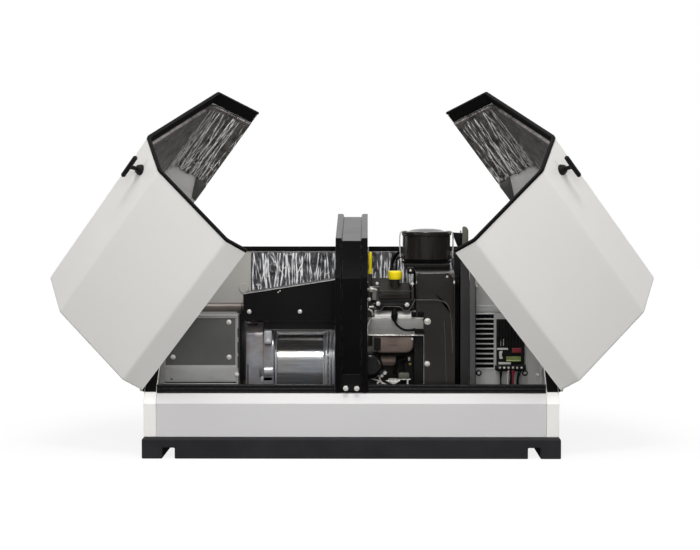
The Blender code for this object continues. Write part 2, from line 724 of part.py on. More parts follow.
# --- silencer side ------------------------------------------------------------------------------------
def muffler(skin):
    x0, x1, y0, y1 = MUFFLER_LEFT, MUFFLER_RIGHT, MUFFLER_FRONT, MUFFLER_BACK
    t = 0.002
    case = box(x0, x1, y0, y1, SEAT, MUFFLER_TOP)
    hollow = box(x0 + t, x1 - t, y0 + t, y1 - t, SEAT + t, MUFFLER_TOP - t)
    window = (x0 + 0.008, x1 - 0.008, WINDOW_LOW, MUFFLER_TOP - 0.010)
    mouth = box(window[0], window[1], y0 - 0.01, y0 + 0.01, window[2], window[3])
    outlet = box(x0 + 0.04, x1 - 0.04, y1 - 0.01, y1 + 0.01, 0.12, 0.26)
    axis_z = MUFFLER_TOP + PIPE_DROP
    far, near = INLET_X - TURRET_LENGTH, INLET_X
    wide, inside = TURRET_HALF, TURRET_HALF - t
    turret = box(far, near, PIPE_Y - wide, PIPE_Y + wide, MUFFLER_TOP - 0.001, axis_z + wide)
    throat = box(far + t, near - t, PIPE_Y - inside, PIPE_Y + inside, MUFFLER_TOP - 0.01, axis_z + inside)
    inlet = rod((near - 0.01, PIPE_Y, axis_z), (near + 0.01, PIPE_Y, axis_z), PIPE_RADIUS + 2 * GAP)
    piece("muffler_box", skin["grey"], case, joined=[turret], cuts=[hollow, mouth, outlet, throat, inlet])
    lip = 0.0035
    plate = box(window[0] - lip, window[1] + lip, y0 + t + GAP, y0 + t + GAP + 0.0015,
                window[2] - lip, window[3] + lip)
    piece("muffler_cover_plate", skin["grey"], plate)


def exhaust_pipe(skin):
    """From the silencer's inlet up and over behind the heat shield, then down towards the engine."""
    high = MUFFLER_TOP + PIPE_DROP
    route = [(INLET_X - 0.010, PIPE_Y, high), (-0.30, PIPE_Y, high), (-0.12, PIPE_Y, high),
             (-0.055, PIPE_Y, high), (PORT_X - 0.020, PIPE_Y + 0.006, high - 0.008),
             (PORT_X - 0.004, PIPE_Y + 0.018, high - 0.034),
             (PORT_X, PIPE_Y + 0.030, PORT_TOP + 0.0225), (PORT_X, PIPE_Y + 0.030, PORT_TOP + 0.0015)]
    path = smooth_path(route, 2)
    piece("exhaust_pipe", skin["pipe"], swept(path, [PIPE_RADIUS] * len(path), 16), smooth=True)


def left_partition(skin):
    x1 = PARTITION_LEFT_X
    plate = box(x1 - 0.002, x1, SHIELD_FRONT + 0.001, BACK_Y - SHEET - 0.011, SEAT, PARTITION_LEFT_TOP)
    cut = box(x1 - 0.02, x1 + 0.02, PIPE_Y - 0.020, PIPE_Y + 0.020,
              MUFFLER_TOP - 0.007, PARTITION_LEFT_TOP + 0.02)
    piece("left_partition", skin["black"], plate, cuts=[cut])


def heat_shield(skin):
    """A folded black shield: an upright face whose top climbs to the right, and a top that runs back."""
    x0, x1 = SHIELD_LEFT, SHIELD_RIGHT
    low, left, right = SHIELD_LOW, SHIELD_TOP_LEFT, SHIELD_TOP_RIGHT
    t, y0, y1 = 0.002, SHIELD_FRONT, SHIELD_FRONT + SHIELD_DEPTH
    face = loft(bmesh.new(), [[(x0, y, low), (x1, y, low), (x1, y, right), (x0, y, left)]
                              for y in (y0, y0 + t)])
    top = loft(bmesh.new(), [[(x0, y, left - t), (x1, y, right - t), (x1, y, right), (x0, y, left)]
                             for y in (y0, y1)])
    side = box(x0, x0 + t, y0, y0 + 0.010, low, left - 0.001)
    lip = box(x0 + 0.060, x1 - 0.002, y0, y0 + 0.070, low, low + t)
    tab = box(PARTITION_LEFT_X + GAP, x0 + 0.004, y0 + 0.002, y0 + 0.010, low + 0.002, low + 0.022)
    piece("heat_shield", skin["black"], face, joined=[top, side, lip, tab])


def air_duct(skin):
    """The shallow black duct under the shield, standing on the alternator's rings."""
    x0, x1 = DUCT_LEFT, SHIELD_RIGHT - 0.002
    front, back = SHIELD_FRONT + 0.010, SHIELD_FRONT + 0.068
    duct = box(x0, x1, front, back, DUCT_LOW, SHIELD_LOW - GAP)
    bore = box(x0 + 0.003, x1 + 0.01, front + 0.003, back - 0.003, DUCT_LOW + 0.003, SHIELD_LOW - 0.007)
    piece("air_duct", skin["plastic"], duct, cuts=[bore])


# --- alternator ---------------------------------------------------------------------------------------
def shaft_point(x):
    return Vector((x, SHAFT_Y, SHAFT_Z))


def alternator(skin):
    can = tube_ring(shaft_point(STATOR_LEFT), (1, 0, 0), STATOR_RIGHT - STATOR_LEFT,
                    STATOR_RADIUS, STATOR_BORE, 40)
    piece("alternator_stator", skin["steel"], can, smooth=True)
    ring = tube_ring(shaft_point(STATOR_RIGHT + GAP), (1, 0, 0), CASE_LEFT - STATOR_RIGHT - 2 * GAP,
                     ADAPTER_RADIUS, STATOR_BORE, 40)
    piece("alternator_adapter", skin["cast"], ring, smooth=True)

    left, right = BRACKET_LEFT, STATOR_LEFT - GAP
    bell = turned(shaft_point(left), (1, 0, 0),
                  [(0, 0.062), (0.012, 0.095), (0.030, 0.118), (0.040, BRACKET_RADIUS),
                   (right - left, BRACKET_RADIUS)], 40)
    foot = box(left + 0.040, right, SHAFT_Y - 0.10, SHAFT_Y + 0.10, skid_top() + GAP, SHAFT_Z)
    hollow = turned(shaft_point(left + 0.020), (1, 0, 0), [(0, 0.050), (0.03, 0.100), (0.1, 0.100)], 32)
    bore = rod(shaft_point(left - 0.02), shaft_point(right + 0.02), BEARING_BORE + BEARING_CLEARANCE, 24)
    lugs = bmesh.new()
    for turn in (25, 155, 205, 335):
        angle = math.radians(turn)
        y, z = SHAFT_Y + math.sin(angle) * BRACKET_RADIUS, SHAFT_Z + math.cos(angle) * BRACKET_RADIUS
        rod((right - 0.030, y, z), (right, y, z), 0.012, 16, lugs)
    vents = bmesh.new()
    for turn in (50, 90, 270, 310):
        angle = math.radians(turn)
        way = Vector((0, math.sin(angle), math.cos(angle)))
        rod(shaft_point(left + 0.060) + way * 0.08, shaft_point(left + 0.060) + way * 0.16, 0.012, 12, vents)
    piece("alternator_end_bracket", skin["cast"], bell, joined=[foot, lugs], cuts=[hollow, bore, vents],
          smooth=True)

    rotor_left, rotor_right = STATOR_LEFT + 0.008, STATOR_RIGHT - 0.004
    rotor = turned(shaft_point(left - 0.004), (1, 0, 0),
                   [(0, BEARING_BORE), (rotor_left - left, BEARING_BORE), (rotor_left - left, ROTOR_RADIUS),
                    (rotor_right - left, ROTOR_RADIUS), (rotor_right - left, SHAFT_RADIUS),
                    (CASE_LEFT - left - 0.004, SHAFT_RADIUS)], 40)
    piece("alternator_rotor", skin["steel"], rotor, smooth=True)


# --- engine -------------------------------------------------------------------------------------------
def skid_top():
    return SEAT + 0.030


def engine_skid(skin):
    """Two rails on rubber-footed cross-bars, which carry engine and alternator."""
    top, low = skid_top(), SEAT + 0.014
    front = box(RAIL_LEFT, RAIL_RIGHT, FRONT_RAIL_Y - RAIL_HALF, FRONT_RAIL_Y + RAIL_HALF, low, top)
    rear = box(RAIL_LEFT, RAIL_RIGHT, REAR_RAIL_Y - RAIL_HALF, REAR_RAIL_Y + RAIL_HALF, low, top)
    bars, feet = bmesh.new(), bmesh.new()
    for x in CROSS_BARS:
        box(x, x + 2 * RAIL_HALF, FRONT_RAIL_Y + 0.015, REAR_RAIL_Y - 0.015, low + 0.001, top - 0.001, bars)
        for y in (FRONT_RAIL_Y, REAR_RAIL_Y):
            rod((x + RAIL_HALF, y, SEAT), (x + RAIL_HALF, y, low + 0.002), 0.018, 20, feet)
    piece("engine_skid", skin["black"], front, joined=[bars, rear, feet])


def crankcase(skin):
    left, right = CASE_LEFT, CASE_RIGHT
    barrel = turned(shaft_point(left), (1, 0, 0), [(0, CASE_RADIUS), (right - left, CASE_RADIUS)], 40)
    sump = box(left + 0.006, right - 0.006, SHAFT_Y - 0.115, SHAFT_Y + 0.115, skid_top() + GAP, SHAFT_Z - 0.02)
    bore = rod(shaft_point(left - 0.02), shaft_point(right + 0.02), SHAFT_RADIUS + SHAFT_CLEARANCE, 24)
    neck_x, neck_y = DIPSTICK_X, DIPSTICK_Y
    neck = rod((neck_x, neck_y, 0.290), (neck_x, neck_y, DIPSTICK_SEAT), 0.0065, 16)
    well = rod((neck_x, neck_y, 0.130), (neck_x, neck_y, DIPSTICK_SEAT + 0.01), 0.0042, 12)
    boss = rod((FILTER_X, FILTER_BACK + GAP, FILTER_Z), (FILTER_X, SHAFT_Y, FILTER_Z), 0.030, 24)
    port_y = PIPE_Y + 0.030
    port = rod((PORT_X, port_y, PORT_TOP - 0.0535), (PORT_X, port_y, PORT_TOP), PIPE_RADIUS + 0.004, 20)
    decks = [deck(-1, FRONT_CYLINDER_X), deck(1, REAR_CYLINDER_X)]
    piece("crankcase", skin["cast"], barrel, joined=[sump, boss, neck, port, *decks], cuts=[bore, well],
          smooth=True)


def cylinder_way(bank):
    """The way a cylinder points, up and to the front (-1) or the rear (1)."""
    angle = math.radians(BANK_DEG)
    return Vector((0, bank * math.sin(angle), math.cos(angle)))


def block_along(bank, x, start, end, half_x, half_depth, taper=1.0):
    """A squared block between two distances along a cylinder, its far end drawn in by the taper."""
    way = cylinder_way(bank)
    across = Vector((1, 0, 0)).cross(way)
    rings = []
    for along, share in ((start, 1.0), (end, taper)):
        middle = shaft_point(x) + way * along
        wide, deep = Vector((half_x * share, 0, 0)), across * half_depth * share
        rings.append([middle - wide - deep, middle + wide - deep, middle + wide + deep, middle - wide + deep])
    return loft(bmesh.new(), rings)


def deck(bank, x):
    """The flat on the crankcase that a cylinder stands on."""
    return block_along(bank, x, 0.080, DECK, BARREL_RADIUS + 0.004, BARREL_RADIUS + 0.004)


def cylinder(bank, x, label, skin):
    """A finned barrel with its head."""
    profile = [(DECK + GAP, BARREL_RADIUS)]
    pitch = (BARREL_END - DECK - 0.010) / FINS
    for k in range(FINS):
        near = DECK + 0.006 + pitch * k
        far = near + pitch * 0.45
        profile += [(near, BARREL_RADIUS), (near, FIN_RADIUS), (far, FIN_RADIUS), (far, BARREL_RADIUS)]
    profile += [(BARREL_END + 0.001, BARREL_RADIUS)]
    barrel = turned(shaft_point(x), cylinder_way(bank), profile, 20)
    head = block_along(bank, x, BARREL_END, HEAD_END - GAP, HEAD_WIDTH / 2 - 0.004, HEAD_DEPTH / 2 - 0.003)
    piece(f"{label}_cylinder", skin["cast"], barrel, joined=[head], smooth=True)


def rocker_cover(bank, x, label, skin, extra=()):
    """The flanged cover over the rockers, tapering to its top."""
    half_x, half_depth = HEAD_WIDTH / 2, HEAD_DEPTH / 2
    flange = block_along(bank, x, HEAD_END, HEAD_END + 0.010, half_x, half_depth)
    dome = block_along(bank, x, HEAD_END + 0.006, COVER_END, half_x - 0.006, half_depth - 0.006, 0.86)
    piece(f"{label}_rocker_cover", skin["plastic"], flange, joined=[dome, *extra])


def cylinders(skin):
    filler = rod((CAP_X, CAP_Y, CAP_Z - 0.050), (CAP_X, CAP_Y, CAP_Z - GAP), 0.014, 20)
    cylinder(-1, FRONT_CYLINDER_X, "front", skin)
    rocker_cover(-1, FRONT_CYLINDER_X, "front", skin, [filler])
    cylinder(1, REAR_CYLINDER_X, "rear", skin)
    rocker_cover(1, REAR_CYLINDER_X, "rear", skin)


def oil_fittings(skin):
    profile = [(0, FILTER_RADIUS * 0.55), (0.004, FILTER_RADIUS - 0.004), (0.012, FILTER_RADIUS),
               (FILTER_BACK - FILTER_FRONT, FILTER_RADIUS)]
    can = turned((FILTER_X, FILTER_FRONT, FILTER_Z), (0, 1, 0), profile, 32)
    piece("oil_filter", skin["black"], can, smooth=True)
    cap = turned((CAP_X, CAP_Y, CAP_Z), (0, 0, 1),
                 [(0, CAP_RADIUS * 0.86), (0.006, CAP_RADIUS), (0.022, CAP_RADIUS), (0.026, CAP_RADIUS * 0.84)], 24)
    piece("oil_cap", skin["yellow"], cap, smooth=True)
    at = (DIPSTICK_X, DIPSTICK_Y)
    grip = turned((*at, DIPSTICK_SEAT + GAP), (0, 0, 1),
                  [(0, 0.0065), (0.012, 0.0065), (0.014, 0.0050), (0.050, 0.0062), (0.062, 0.0058),
                   (0.066, 0.0035)], 16)
    blade = rod((*at, 0.150), (*at, DIPSTICK_SEAT + 0.003), 0.0028, 10)
    piece("dipstick", skin["yellow"], grip, joined=[blade], smooth=True)


def cylinder_shroud(skin):
    """The sheet-metal cowl in front of the front cylinder, bent to send the blower's air round it."""
    x0, x1 = 0.046, BLOWER_LEFT - GAP
    line = [(-0.160, 0.300), (-0.212, 0.306), (-0.226, 0.352), (-0.243, 0.360), (-0.232, 0.400)]
    cowl = prism(sheet_outline(line, 0.002), x0, x1)
    piece("cylinder_shroud", skin["grey"], cowl)


def spark_lead(skin):
    """The plug boot on the front cylinder's head and its lead to the coil behind the blower housing."""
    route = [(0.125, -0.2084, 0.4176), (0.125, -0.218, 0.4125), (0.125, -0.231, 0.4105), (0.125, -0.246, 0.4085),
             (0.127, -0.257, 0.400), (0.134, -0.260, 0.385), (0.152, -0.258, 0.372), (0.172, -0.252, 0.369),
             (0.188, -0.246, 0.372)]
    path = smooth_path(route, 3)
    radii = [BOOT_RADIUS if i <= 9 else LEAD_RADIUS for i in range(len(path))]
    piece("spark_lead", skin["rubber"], swept(path, radii, 10), smooth=True)


def blower_housing(skin):
    """A deep cover over the flywheel fan, open towards the engine, with its air intake on the right."""
    left, right, t = BLOWER_LEFT, BLOWER_RIGHT, BLOWER_SHEET
    front, back = SHAFT_Y - BLOWER_RADIUS, SHAFT_Y + BLOWER_RADIUS * 0.86
    low, top, bend = SEAT, BLOWER_TOP, 0.060

    def outline(inward):
        y0, y1, z0, z1 = front + inward, back - inward, low + inward, top - inward
        radius = bend - inward
        points = [(y0, z0)]
        for middle_y, turn in ((y0 + radius, 180), (y1 - radius, 90)):
            for k in range(5):
                angle = math.radians(turn - 22.5 * k)
                points.append((middle_y + radius * math.cos(angle), z1 - radius + radius * math.sin(angle)))
        return points + [(y1, z0)]

    shell = prism(outline(0), left, right)
    hollow = prism(outline(t), left - 0.01, right - t)
    intake = rod(shaft_point(right - 0.02), shaft_point(right + 0.02), 0.095, 36)
    piece("blower_housing", skin["plastic"], shell, cuts=[hollow, intake])


def flywheel(skin):
    """The flywheel with its fan blades, on the crankshaft's nose."""
    x0 = BLOWER_LEFT + 0.022
    disc = tube_ring(shaft_point(x0), (1, 0, 0), 0.012, FLYWHEEL_RADIUS, SHAFT_RADIUS + 0.0004, 40)
    hub = tube_ring(shaft_point(x0), (1, 0, 0), FLYWHEEL_WIDTH, 0.040, SHAFT_RADIUS + 0.0004, 24)
    blades = bmesh.new()
    for k in range(12):
        turn = Matrix.Rotation(math.radians(30 * k), 3, "X")
        rings = []
        for x in (x0 + 0.006, x0 + FLYWHEEL_WIDTH):
            ring = [turn @ Vector((0, y, z)) + shaft_point(x)
                    for y, z in ((-0.0015, 0.060), (0.0015, 0.060), (0.0135, FLYWHEEL_RADIUS - 0.003),
                                 (0.0105, FLYWHEEL_RADIUS - 0.003))]
            rings.append(ring)
        loft(blades, rings)
    piece("flywheel_fan", skin["cast"], disc, joined=[hub, blades])


def crankshaft(skin):
    x0, x1 = CASE_LEFT - 0.003, BLOWER_LEFT + 0.022 + FLYWHEEL_WIDTH + 0.012
    shaft = turned(shaft_point(x0), (1, 0, 0), [(0, SHAFT_RADIUS), (x1 - x0, SHAFT_RADIUS)], 24)
    nut = turned(shaft_point(x1 - 0.010), (1, 0, 0), [(0, 0.024), (0.010, 0.024)], 6)
    piece("crankshaft", skin["steel"], shaft, joined=[nut], smooth=True)


# --- air cleaner --------------------------------------------------------------------------------------
def air_cleaner(skin):
    x, y, r = CLEANER_X, CLEANER_Y, CLEANER_RADIUS
    low, split = CLEANER_BOTTOM, CLEANER_TOP - CLEANER_LID
    base_low = BLOWER_TOP + GAP
    can = turned((x, y, low), (0, 0, 1), [(0, r - 0.006), (0.006, r), (split - GAP - low, r)], 40)
    pedestal = box(x - 0.035, x + 0.035, y - 0.040, y + 0.040, base_low, low + 0.002)
    hollow = rod((x, y, low + 0.006), (x, y, split + 0.01), r - 0.003, 40)
    ears = bmesh.new()
    for side in (-1, 1):
        for offset in (-CLIP_HALF, CLIP_HALF):
            box(x + side * (r - 0.006), x + side * (r + CLIP_OUT - CLIP_WIRE - GAP), y + offset - 0.004,
                y + offset + 0.004, low + 0.006, low + 0.018, ears)
    piece("air_cleaner_can", skin["plastic"], can, joined=[pedestal, ears], cuts=[hollow], smooth=True)
    lid_top = turned((x, y, split), (0, 0, 1),
                     [(0, r + 0.003), (0.005, r + 0.003), (0.009, r - 0.004), (CLEANER_LID, r - 0.012)], 40)
    piece("air_cleaner_lid", skin["plastic"], lid_top, smooth=True)
    for side, label in ((-1, "left"), (1, "right")):
        foot = x + side * (r + CLIP_OUT)
        over = CLEANER_TOP + CLIP_WIRE + GAP
        half = [(foot, CLIP_HALF, low + 0.012), (foot + side * 0.002, CLIP_HALF, low + 0.040),
                (foot + side * 0.002, 0.018, split + 0.002), (foot - side * 0.006, 0.014, over),
                (foot - side * 0.018, 0.007, over)]
        route = [(px, y - offset, pz) for px, offset, pz in half]
        route += [(px, y + offset, pz) for px, offset, pz in reversed(half)]
        path = smooth_path(route, 3)
        empty = axis_empty(f"{label}_clip_pivot", Vector((foot, y, low + 0.012)))
        wire = swept(path, [CLIP_WIRE] * len(path), 6)
        piece(f"air_cleaner_{label}_clip", skin["steel"], wire, smooth=True, hinge=empty)


# --- right-hand compartment ---------------------------------------------------------------------------
def right_partition(skin):
    x = PARTITION_RIGHT_X
    wall = box(x, x + 0.002, PARTITION_FRONT, BACK_Y - SHEET - 0.011, SEAT, PARTITION_RIGHT_TOP)
    near, far = CLEANER_Y + CLIP_HALF + 0.010, CLEANER_Y + CLIP_HALF + 0.045
    shelf = PARTITION_RIGHT_TOP - 0.012
    mount = box(x - 0.030, x + 0.001, near, far, shelf, shelf + SHEET)
    tab = box(x - 0.030, x - 0.030 + SHEET, near, far, shelf + 0.001, BRACKET_TAB_TOP)
    intake = rod((x - 0.02, SHAFT_Y, SHAFT_Z), (x + 0.02, SHAFT_Y, SHAFT_Z), 0.080, 32)
    piece("right_partition", skin["black"], wall, joined=[mount, tab], cuts=[intake])


def equipment_panel(skin):
    """The grey panel across the right-hand bay, with a ladder of louvre slots."""
    x0, x1 = PARTITION_RIGHT_X + 0.002 + GAP, WALL_IN - GAP
    y0 = PANEL_FRONT
    panel = box(x0, x1, y0, y0 + 0.002, SEAT, PANEL_TOP)
    foot = box(x0, x1, y0, y0 + 0.030, SEAT, SEAT + 0.002)
    slots = bmesh.new()
    for k in range(PANEL_SLOTS):
        z = PANEL_SLOT_LOW + PANEL_SLOT_PITCH * k
        box(x0 + 0.006, x0 + 0.060, y0 - 0.01, y0 + 0.01, z, z + PANEL_SLOT_HEIGHT, slots)
    piece("equipment_panel", skin["grey"], panel, joined=[foot], cuts=[slots])


def charger(skin):
    """The finned battery charger with its terminal strip, and the loom that leaves it."""
    x0, x1, y1 = CHARGER_LEFT, CHARGER_RIGHT, PANEL_FRONT - GAP
    y0 = y1 - CHARGER_DEPTH
    body = box(x0, x1, y0, y1, CHARGER_LOW, CHARGER_TOP)
    fins = bmesh.new()
    for k in range(CHARGER_FINS):
        x = x0 + 0.002 + CHARGER_FIN_PITCH * k
        box(x, x + 0.003, y0 - 0.012, y0 + 0.002, CHARGER_TOP - 0.052, CHARGER_TOP - 0.002, fins)
    strip = box(x0 + 0.004, x1 + 0.004, y0 - 0.008, y0 + 0.002, CHARGER_LOW + 0.004, CHARGER_LOW + 0.020)
    piece("charger_module", skin["plastic"], body, joined=[fins, strip])
    middle, front = (x0 + x1) / 2 + 0.004, y0 - 0.004
    route = [(middle, front, CHARGER_LOW - 0.0005), (middle, front - 0.002, CHARGER_LOW - 0.021),
             (middle - 0.004, front, CHARGER_LOW - 0.056),
             (middle - 0.010, front + 0.006, CHARGER_LOW - 0.096),
             (middle - 0.012, front + 0.010, SEAT + 0.012),
             (middle - 0.060, front + 0.012, SEAT + 0.009), (middle - 0.090, front - 0.010, SEAT + 0.009)]
    path = smooth_path(route, 4)
    piece("wire_loom", skin["rubber"], swept(path, [LOOM_RADIUS] * len(path), 10), smooth=True)


def battery(skin):
    x0, y0 = BATTERY_LEFT, BATTERY_FRONT
    length, depth, height = BATTERY_SIZE
    case = box(x0, x0 + length, y0, y0 + depth, SEAT, SEAT + height)
    posts = bmesh.new()
    for x in (x0 + 0.030, x0 + length - 0.030):
        rod((x, y0 + 0.030, SEAT + height - 0.005), (x, y0 + 0.030, SEAT + height + 0.015), 0.008, 16, posts)
    piece("battery", skin["plastic"], case, joined=[posts])


def build():
    clear_scene()
    skin = finishes()
    base_pad(skin)
    floor_pan(skin)
    front_panel(skin)
    back_wall(skin)
    back_insulation(skin)
    for side, label in ((-1, "left"), (1, "right")):
        end_wall(side, f"{label}_end_wall", skin)
        sill(side, f"{label}_sill", skin)
        lid(side, label, skin)
    centre_arch(skin)
    arch_foot_plate(skin)
    muffler(skin)
    exhaust_pipe(skin)
    left_partition(skin)
    heat_shield(skin)
    air_duct(skin)
    alternator(skin)
    engine_skid(skin)
    crankcase(skin)
    cylinders(skin)
    oil_fittings(skin)
    cylinder_shroud(skin)
    spark_lead(skin)
    blower_housing(skin)
    flywheel(skin)
    crankshaft(skin)
    air_cleaner(skin)
    right_partition(skin)
    equipment_panel(skin)
    charger(skin)
    battery(skin)


build()
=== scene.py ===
import json
import math

import bmesh
import bpy
import numpy as np
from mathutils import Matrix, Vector


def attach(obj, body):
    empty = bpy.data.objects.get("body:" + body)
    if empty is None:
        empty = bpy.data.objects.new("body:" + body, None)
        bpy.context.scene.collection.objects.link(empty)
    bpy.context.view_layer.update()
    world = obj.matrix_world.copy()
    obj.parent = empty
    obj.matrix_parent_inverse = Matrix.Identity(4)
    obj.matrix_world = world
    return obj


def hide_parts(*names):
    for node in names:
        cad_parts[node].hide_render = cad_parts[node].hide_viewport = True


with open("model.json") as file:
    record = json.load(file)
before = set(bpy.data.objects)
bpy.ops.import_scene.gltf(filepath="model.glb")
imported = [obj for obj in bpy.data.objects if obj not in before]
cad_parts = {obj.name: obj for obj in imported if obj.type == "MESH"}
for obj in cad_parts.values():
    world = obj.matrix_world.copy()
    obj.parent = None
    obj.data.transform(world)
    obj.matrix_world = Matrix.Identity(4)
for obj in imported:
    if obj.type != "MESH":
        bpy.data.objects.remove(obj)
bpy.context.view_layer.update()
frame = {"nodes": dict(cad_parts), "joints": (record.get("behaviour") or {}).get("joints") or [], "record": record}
slotOf = {row["node"]: row["material_slot"] for row in frame["record"]["subparts"]}
bodyOf = {node: body for body, nodes in frame["record"]["behaviour"]["bodies"].items() for node in nodes}
jointNamed = {joint["name"]: joint for joint in frame["joints"]}
print("frame loaded:", len(slotOf), "nodes")


# Surfaces: each shape is a grid of points, worked out as whole arrays, and becomes a patch of points and quads.
def unit(v):
    return v / np.linalg.norm(v, axis=-1, keepdims=True)


# A line whose corners give way to a quadratic curve that starts and ends `reach` from the corner.
def softened(corners, reach, steps=5, closed=False):
    pts = np.asarray(corners, float)
    reach = np.broadcast_to(np.asarray(reach, float), len(pts)).copy()
    if not closed:
        reach[[0, -1]] = 0
    toBefore, toAfter = np.roll(pts, 1, 0) - pts, np.roll(pts, -1, 0) - pts
    longBefore = np.linalg.norm(toBefore, axis=1)
    longAfter = np.linalg.norm(toAfter, axis=1)
    near = pts + toBefore / longBefore[:, None] * np.minimum(reach, longBefore / 2)[:, None]
    far = pts + toAfter / longAfter[:, None] * np.minimum(reach, longAfter / 2)[:, None]
    t = np.linspace(0, 1, steps + 1)[None, :, None]
    line = ((1 - t) ** 2 * near[:, None] + 2 * t * (1 - t) * pts[:, None] + t ** 2 * far[:, None])
    line = line.reshape(-1, pts.shape[1])
    return line if closed else line[steps:len(line) - steps]


# The same line with a point close to each end of its long spans, so that the flats between bends stay flat.
def held(line, gap=0.003):
    line = np.asarray(line, float)
    step = np.diff(line, axis=0)
    length = np.linalg.norm(step, axis=1)
    where = np.flatnonzero(length > 4 * gap)
    share = (gap / length[where])[:, None]
    near, far = line[where] + step[where] * share, line[where + 1] - step[where] * share
    return np.insert(line, np.repeat(where + 1, 2), np.stack([near, far], 1).reshape(-1, line.shape[1]),
        axis=0)


# The same line with `count` points, evenly spaced by its length.
def resampled(line, count):
    line = np.asarray(line, float)
    along = np.r_[0, np.cumsum(np.linalg.norm(np.diff(line, axis=0), axis=1))]
    wanted = np.linspace(0, along[-1], count)
    return np.stack([np.interp(wanted, along, line[:, k]) for k in range(line.shape[1])], 1)


# A Catmull-Rom curve: each span is a cubic of the four points round it.
def route(points, perSpan=8):
    p = np.asarray(points, float)
    p = np.vstack([2 * p[0] - p[1], p, 2 * p[-1] - p[-2]])
    t = np.arange(perSpan)[None, :, None] / perSpan
    a, b, c, d = (p[k:len(p) - 3 + k, None] for k in range(4))
    line = 0.5 * (2 * b + (c - a) * t + (2 * a - 5 * b + 4 * c - d) * t ** 2 + (3 * b - a - 3 * c + d) * t ** 3)
    return np.vstack([line.reshape(-1, p.shape[1]), p[-2:-1]])


# A grid of points (rows, columns, 3) and its quads, wrapped round along its columns where it is closed.
def patch(grid, closedColumns=False):
    rows, columns = grid.shape[:2]
    i, j = np.meshgrid(np.arange(rows - 1), np.arange(columns - (not closedColumns)), indexing="ij")
    up, on = i + 1, (j + 1) % columns
    quads = np.stack([i * columns + j, up * columns + j, up * columns + on, i * columns + on], -1)
    return grid.reshape(-1, 3), quads.reshape(-1, 4)


# Two directions square to a third.
def crossAxes(direction):
    w = unit(np.asarray(direction, float))
    aside = np.array([0, 0, 1.0]) if abs(w[2]) < 0.9 else np.array([1.0, 0, 0])
    u = unit(np.cross(aside, w))
    return u, np.cross(w, u), w


# A turned shape: at angle a, a point of the profile (along, radius) lies radius*(cos a, sin a) off the axis.
# With flats, the radius at each angle is that of a regular figure with so many sides.
def turned(start, direction, profile, sides=32, flats=0):
    u, v, w = crossAxes(direction)
    profile = np.asarray(profile, float)
    angle = np.arange(sides) * 2 * math.pi / sides
    share = np.ones(sides)
    if flats:
        half = math.pi / flats
        share = math.cos(half) / np.cos(np.mod(angle, 2 * half) - half)
    ring = np.cos(angle)[:, None] * u + np.sin(angle)[:, None] * v
    grid = (np.asarray(start, float) + profile[:, 0, None, None] * w
            + profile[:, 1, None, None] * (ring * share[:, None])[None])
    return patch(grid, closedColumns=True)


# A round bar along a path: rings square to it, turned from one fixed direction. Its ends close to a point.
def tube(path, radius, sides=12):
    path = np.asarray(path, float)
    radius = np.r_[0, np.broadcast_to(np.asarray(radius, float), len(path)), 0]
    path = np.vstack([path[:1], path, path[-1:]])
    tangent = np.gradient(path, axis=0)
    tangent[0], tangent[-1] = tangent[1], tangent[-2]
    tangent = unit(tangent + 1e-12)
    fixed = np.eye(3)[np.argmin(np.abs(tangent).max(0))]
    u = unit(np.cross(fixed, tangent))
    v = np.cross(tangent, u)
    angle = np.arange(sides) * 2 * math.pi / sides
    grid = path[:, None] + radius[:, None, None] * (np.cos(angle)[None, :, None] * u[:, None]
                                                    + np.sin(angle)[None, :, None] * v[:, None])
    return patch(grid, closedColumns=True)


# A rectangle between two corners with softened corners, as a closed line.
def outlineBox(low, high, reach, steps=4):
    (x0, y0), (x1, y1) = low, high
    return softened([(x0, y0), (x1, y0), (x1, y1), (x0, y1)], reach, steps, closed=True)


# A closed outline carried along an axis: at each level (place, inset) it is drawn in towards its middle
# by the inset; the first and last level close to a point.
def stacked(outline, levels, axis):
    outline = np.asarray(outline, float)
    middle = (outline.min(0) + outline.max(0)) / 2
    half = (outline.max(0) - outline.min(0)) / 2
    rings = []
    for place, inset in [(levels[0][0], None), *levels, (levels[-1][0], None)]:
        share = np.zeros(2) if inset is None else 1 - inset / half
        ring = middle + (outline - middle) * share
        rings.append(np.insert(ring, axis, place, axis=1))
    return patch(np.array(rings), closedColumns=True)


# A box with softened edges, as a stack of softened rectangles along an axis.
def block(low, high, edge=0.002, corner=None, axis=2, steps=3):
    low, high = np.asarray(low, float), np.asarray(high, float)
    flat = [k for k in range(3) if k != axis]
    outline = outlineBox(low[flat], high[flat], edge * 1.5 if corner is None else corner)
    turn = np.linspace(0, math.pi / 2, steps)
    start = [(low[axis] + edge * (1 - math.sin(a)), edge * (1 - math.cos(a))) for a in turn[::-1]]
    end = [(high[axis] - edge * (1 - math.sin(a)), edge * (1 - math.cos(a))) for a in turn]
    return stacked(outline, start + end, axis)


# The same patch at each place.
def repeated(shape, places):
    points, quads = shape
    places = np.asarray(places, float)
    moved = points[None] + places[:, None]
    return (moved.reshape(-1, 3), (quads[None] + np.arange(len(places))[:, None,
        None] * len(points)).reshape(-1, 4))


def placePiece(obj, finish, body, node=None):
    obj.data.materials.clear()
    obj.data.materials.append(finish)
    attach(obj, body)
    if node:
        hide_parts(node)
    return obj


